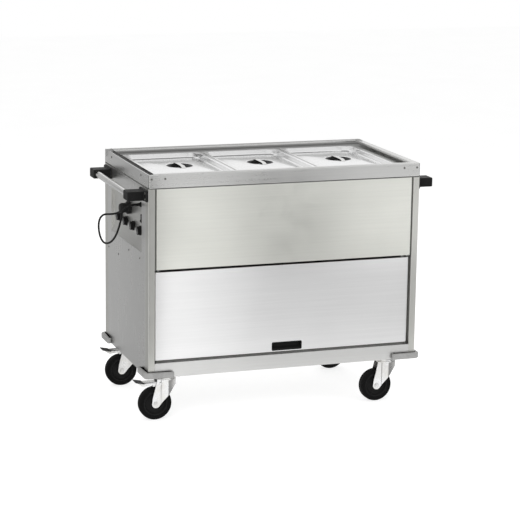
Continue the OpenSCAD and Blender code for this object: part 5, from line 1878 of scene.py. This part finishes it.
@dataclass
class Castor:
    """One swivel castor; the left pair has brake pedals."""

    name: str
    x: float
    y: float
    braked: bool
    wheel_d: float = 0.130
    wheel_w: float = 0.034
    trail: float = 0.046
    axle_d: float = 0.010
    fork_gap: float = 0.038
    leg_t: float = 0.003
    lobe: float = 0.016
    crown: float = 0.160
    crown_t: float = 0.005
    crown_rear: float = -0.042
    race_d: float = 0.058
    crease: float = 0.004
    curl: float = 0.016
    line_x: float = -0.0225
    line_rear: float = 0.0036
    line_front: float = 0.018
    line_deep: float = 0.0022
    nose: float = 0.036
    nose_half: float = 0.012
    pedal: tuple = (-0.028, 0.146)
    pin_d: float = 0.008

    @property
    def axle(self) -> tuple:
        """Middle of the wheel's axle."""
        return (self.x - self.trail, self.y, self.wheel_d / 2)

    @property
    def tip(self) -> float:
        """Where the pedal ends behind the wheel, from the swivel's axis."""
        return -self.trail - self.wheel_d / 2 - 17 * MM

    def tyre(self) -> Surface:
        """Tyre: a rounded band with a fine moulding line round its tread.

        Returns:
            The tyre, a closed ring.
        """
        r, w, inner = self.wheel_d / 2, self.wheel_w / 2, 0.048
        half = [(inner, -w + 1 * MM), (inner + 3 * MM, -w), (r - 0.4 * MM, -w), (r, -0.5 * MM)]
        corners = np.insert(two_sided(half), len(half), (r - 0.5 * MM, 0), axis=0)
        ring = filleted(corners, mm(0.4, 1, 7, 0.2, 0.2, 0.2, 7, 1, 0.4), 6)
        return revolved(ring, self.axle, (0, 1, 0), 96, ring=True)

    def core(self) -> Surface:
        """Wheel centre: rim, dished web and long hub, turned from one outline.

        Returns:
            The wheel centre, a closed ring.
        """
        w, hub, bore = self.wheel_w / 2 - 2 * MM, self.fork_gap / 2 - 0.5 * MM, self.axle_d / 2 + 0.05 * MM
        half = [(bore, hub), (14 * MM, hub), *mm((16, 8), (30, 5.5), (39, 6)), (42.5 * MM, w), (48.2 * MM, w)]
        bends = mm(0.4, 1.2, 3, 6, 3, 1.2, 0.3)
        ring = filleted(two_sided(half), np.concatenate([bends, bends[::-1]]), 4)
        return revolved(ring, self.axle, (0, 1, 0), 72, ring=True)

    def inward(self, x: np.ndarray) -> np.ndarray:
        """How far the sheet has curved inwards at x: 1 - exp(-p / reach) past the crease.

        Args:
            x: places along X, from the swivel's axis.

        Returns:
            The distance at each place.
        """
        whole = self.fork_gap / 2 + self.leg_t - self.nose_half
        past = 0.5 * (x - self.crease + np.sqrt((x - self.crease) ** 2 + (1.2 * MM) ** 2))
        return whole * (1 - np.exp(-past / self.curl)) / (
            1 - math.exp(-(self.nose - self.crease) / self.curl)
        )

    def leg(self) -> Surface:
        """Pressed leg at +Y: rows up the leg, each a thin closed strip across it.

        A row runs from the rear edge to the front edge. The edges follow the leg's side outline,
        with the foot's half circle below the axle. Past the crease the sheet curves inwards as
        1 - exp(-p / reach), and a pressed line, exp(-(p / width)^2) with a steep and a slow side, runs
        down ahead of the axle.

        Returns:
            The leg, with the swivel's axis at the origin.
        """
        lobe, tz = self.lobe, self.wheel_d / 2
        low = tz - lobe * np.cos(np.linspace(0.12, np.pi / 2, 12))
        top, split = self.crown + 2 * MM, tz - 9 * MM
        z = np.concatenate([low, np.linspace(tz + 4 * MM, top, 26)])
        arc = np.sqrt(np.clip(lobe**2 - (z - tz) ** 2, 0, None))
        heel, toe = -self.trail - lobe, -self.trail + lobe
        levels = [tz, tz + 24 * MM, self.crown - 6 * MM, top]
        upper = np.interp(z, levels, [heel, heel + 3 * MM, self.crown_rear, self.crown_rear])
        rear = np.where(z <= tz, -self.trail - arc, upper)
        levels = [split, self.crown - 55 * MM, self.crown - 22 * MM, top]
        upper = np.interp(z, levels, [toe - 3 * MM, 13 * MM, self.nose - 1 * MM, self.nose])
        front = np.where(z <= split, -self.trail + arc, upper)
        s = np.linspace(0, 1, 73)[None, :]
        x = rear[:, None] + (front - rear)[:, None] * s
        away = (x - self.line_x) / np.where(x < self.line_x, self.line_rear, self.line_front)
        pressed = self.line_deep * np.exp(-(away**2))
        face = self.fork_gap / 2 + self.leg_t - self.inward(x)
        outer, inner = face - pressed, face - self.leg_t
        plan_x = np.concatenate([x, x[:, ::-1]], axis=1)
        plan_y = np.concatenate([outer, inner[:, ::-1]], axis=1)
        height = np.broadcast_to(z[:, None], plan_x.shape)
        return lofted(np.stack([plan_x, plan_y, height], axis=-1))

    def fork(self) -> Surface:
        """Both legs, the top they hang from, the race cup and the web at the nose.

        Returns:
            The fork in its place.
        """
        outer = self.fork_gap / 2 + self.leg_t
        edge_x = np.linspace(self.crease - 4 * MM, self.nose, 10)
        edge = np.stack([edge_x, outer - self.inward(edge_x)], axis=-1)
        rear = self.crown_rear
        corner = filleted([(0, outer), (rear, outer), (rear, 0)], 4 * MM, 5, closed=False)[1:-1]
        plan = two_sided(np.concatenate([corner[::-1], edge]))
        top = prism(plan, self.crown, self.crown + 3 * MM, Axis.Z, 1.0 * MM, 3)
        r = self.race_d / 2
        cup = [*mm((6.1, 0), (36, 0), (36, 5)), *about((r, 0), (4, 5), (4, 11), (0.5, 11))]
        cup += [(r + 0.5 * MM, self.crown_t), (6.1 * MM, self.crown_t)]
        cup = filleted(cup, mm(0.5, 2, 1, 1, 1.2, 1.2, 0.5, 0.5), 4)
        bowl = revolved(cup, (0, 0, self.crown), (0, 0, 1), 56, ring=True)
        wide = self.nose_half - 1 * MM
        web_plan = filleted(rectangle(self.nose - self.leg_t, -wide, self.nose, wide), 0.8 * MM, 3)
        web = prism(web_plan, self.crown - 24 * MM, self.crown + 2 * MM, Axis.Z, 0.8 * MM, 2)
        leg = self.leg()
        return joined(leg, leg.mirrored(y=True), top, bowl, web).moved(self.x, self.y)

    def hardware(self) -> Surface:
        """Axle bolt with its nut and washers, and the pedal's riveted pin where there is one.

        Returns:
            All the hardware of one fork.
        """
        outer = self.fork_gap / 2 + self.leg_t
        ax, ay, az = self.axle
        r, end = self.axle_d / 2, -outer - 6 * MM
        rod = two_sided([(0, end), (r - 0.6 * MM, end), (r, end + 0.6 * MM)])
        parts = [revolved(rod, self.axle, (0, 1, 0), 32)]
        for s in (-1, 1):
            washer = filleted(mm(*rectangle(0, 0, 10.5, 1.2)), mm(0, 0.3, 0.4, 0), 2, closed=False)
            parts.append(revolved(washer, (ax, ay + s * outer, az), (0, s, 0), 32))
            nut = filleted(hexagon(17.5 * MM, 0.3 * s), 0.5 * MM, 2) + [ax, az]
            ends = sorted((ay + s * (outer + 1.1 * MM), ay + s * (outer + 4.8 * MM)))
            parts.append(prism(nut, *ends, Axis.Y, 0.7 * MM, 2))
        if self.braked:
            px, pz = self.x + self.pedal[0], self.pedal[1]
            for s in (-1, 1):
                dome = mm((0, -1), (6, -1), (6, 0.8), (5, 1.6), (2.5, 2), (0, 2))
                parts.append(revolved(dome, (px, self.y + s * outer, pz), (0, s, 0), 24))
            pin = np.array(rectangle(0, -outer, self.pin_d / 2, outer))
            parts.append(revolved(pin, (px, self.y, pz), (0, 1, 0), 24))
        return joined(*parts)

    def pedal_arm(self) -> Surface:
        """Brake lever between the legs, with its shoe over the tyre and a boss on the pin.

        Returns:
            The lever in its place.
        """
        px, pz = self.pedal
        shoe = self.wheel_d + 3.5 * MM
        corners = [
            *about((px, pz), (5, 2), (3, 6), (-8, 7)),
            *about((self.tip, pz), (30, 5), (4, 9.4), (12, 4), (27, -7), (34, -8)),
            *about((-self.trail, pz), (-12, -5)), *about((-self.trail, shoe), (-12, 0), (6, 0)),
            *about((-self.trail, pz), (8, -4)), *about((px, pz), (3, -5)),
        ]
        half = self.fork_gap / 2 - 1.5 * MM
        outline = filleted(corners, mm(1, 2, 6, 2, 0.6, 4, 2, 1, 2, 2, 2, 1.2, 1), 3)
        arm = prism(outline, -half, half, Axis.Y, 1.4 * MM, 3)
        ring = filleted(rectangle(4.1 * MM, -half, 8 * MM, half), 0.8 * MM, 2)
        boss = revolved(ring, (px, 0, pz), (0, 1, 0), 32, ring=True)
        return joined(arm, boss).moved(self.x, self.y)

    def pedal_tread(self) -> Surface:
        """Wide foot plate at the lever's end, with four ribs across it.

        Returns:
            The foot plate in its place.
        """
        end = (self.tip, self.pedal[1])
        half = self.fork_gap / 2 + 4.5 * MM
        corners = about(end, (36, 4), (30, 6.5), (0, 12), (-1, 9.6), (12, 6.2), (30, 2.4), (36, 1))
        plate = prism(filleted(corners, mm(0.8, 3, 0.9, 0.9, 5, 3, 0.8), 4), -half, half, Axis.Y, 0.8 * MM, 3)
        ribs = []
        for along in (6, 12, 18, 24):
            crest = about(end, (along, 12 - 5.5 * along / 30))[0]
            rib = filleted(about(crest, (-1.4, -1), (1.4, -1.3), (1, 0.5), (-1, 0.8)), 0.5 * MM, 2)
            ribs.append(prism(rib, -half + 3 * MM, half - 3 * MM, Axis.Y, 0.6 * MM, 2))
        return joined(plate, *ribs).moved(self.x, self.y)

    def plate(self) -> Surface:
        """Top plate with its ball race, king pin, nut and four bolts.

        Returns:
            The plate with all that is fixed to it.
        """
        z0 = BODY.base - 6 * MM
        outline = filleted(mm(*rectangle(-52.5, -42.5, 52.5, 42.5)), 8 * MM, 6)
        r, foot, head = self.race_d / 2, self.crown + self.crown_t + 0.3 * MM, z0 + 0.5 * MM
        corners = [(0, foot), (r - 6 * MM, foot), (r, head), (0, head)]
        race = filleted(corners, mm(0, 1.5, 1.5, 0), 4, closed=False)
        pin = np.array([*about((0, self.crown), (0, -9), (5.4, -9), (6, -8.4)), (6 * MM, z0), (0, z0)])
        nut = filleted(hexagon(20.4 * MM), 0.6 * MM, 2)
        parts = [
            prism(outline, z0, BODY.base, Axis.Z, 0.8 * MM, 2),
            revolved(race, (0, 0, 0), (0, 0, 1), 48),
            revolved(pin, (0, 0, 0), (0, 0, 1), 32),
            prism(nut, self.crown - 8.5 * MM, self.crown - 0.5 * MM, Axis.Z, 0.8 * MM, 2),
        ]
        for sx in (-1, 1):
            for sy in (-1, 1):
                bolt = filleted(
                    hexagon(14 * MM, 0.2 * sx + 0.3 * sy), 0.5 * MM, 2
                ) + [sx * 0.0415, sy * 0.0315]
                parts.append(prism(bolt, z0 - 5 * MM, z0 + 0.2 * MM, Axis.Z, 0.7 * MM, 2))
        return joined(*parts).moved(self.x, self.y)

    def build(self) -> None:
        """Makes the wheel, the fork with its bolts and, on a braked castor, the pedal."""
        fork, wheel = "fork_" + self.name, "wheel_" + self.name
        make_piece("tyre_" + self.name, self.tyre(), Finishes.tyre, wheel, body=wheel)
        make_piece("wheel_core_" + self.name, self.core(), Finishes.black, body=wheel)
        make_piece("fork_sheet_" + self.name, self.fork(), Finishes.zinc, fork, body=fork, sharp=30)
        make_piece("fork_bolts_" + self.name, self.hardware(), Finishes.zinc, body=fork)
        if self.braked:
            pedal = "pedal_" + self.name
            make_piece("pedal_arm_" + self.name, self.pedal_arm(), Finishes.zinc, pedal, body=pedal)
            make_piece("pedal_tread_" + self.name, self.pedal_tread(), Finishes.tread, body=pedal)


def build_castors() -> None:
    """The four castors and, as one piece of the carcass, their top plates."""
    x, y = 0.459, 0.250
    castors = [
        Castor("front_left", -x, -y, True), Castor("front_right", x, -y, False),
        Castor("rear_left", -x, y, True), Castor("rear_right", x, y, False),
    ]
    for castor in castors:
        castor.build()
    make_piece("castor_top_plates", joined(*[c.plate() for c in castors]), Finishes.zinc, "castor_plates")


def main() -> None:
    """Builds the studio and then each sub-assembly."""
    logging.basicConfig(level=logging.INFO, format="%(message)s")
    Studio().build()
    MainsLead().build()
    Rim().build()
    for place, name in enumerate(("left", "centre", "right"), -1):
        CoveredWell(name, place * WELL_PITCH).build()
    Carcass().build()
    Cupboard().build()
    Controls().build()
    PushHandles().build()
    build_castors()


if __name__ == "__main__":
    main()
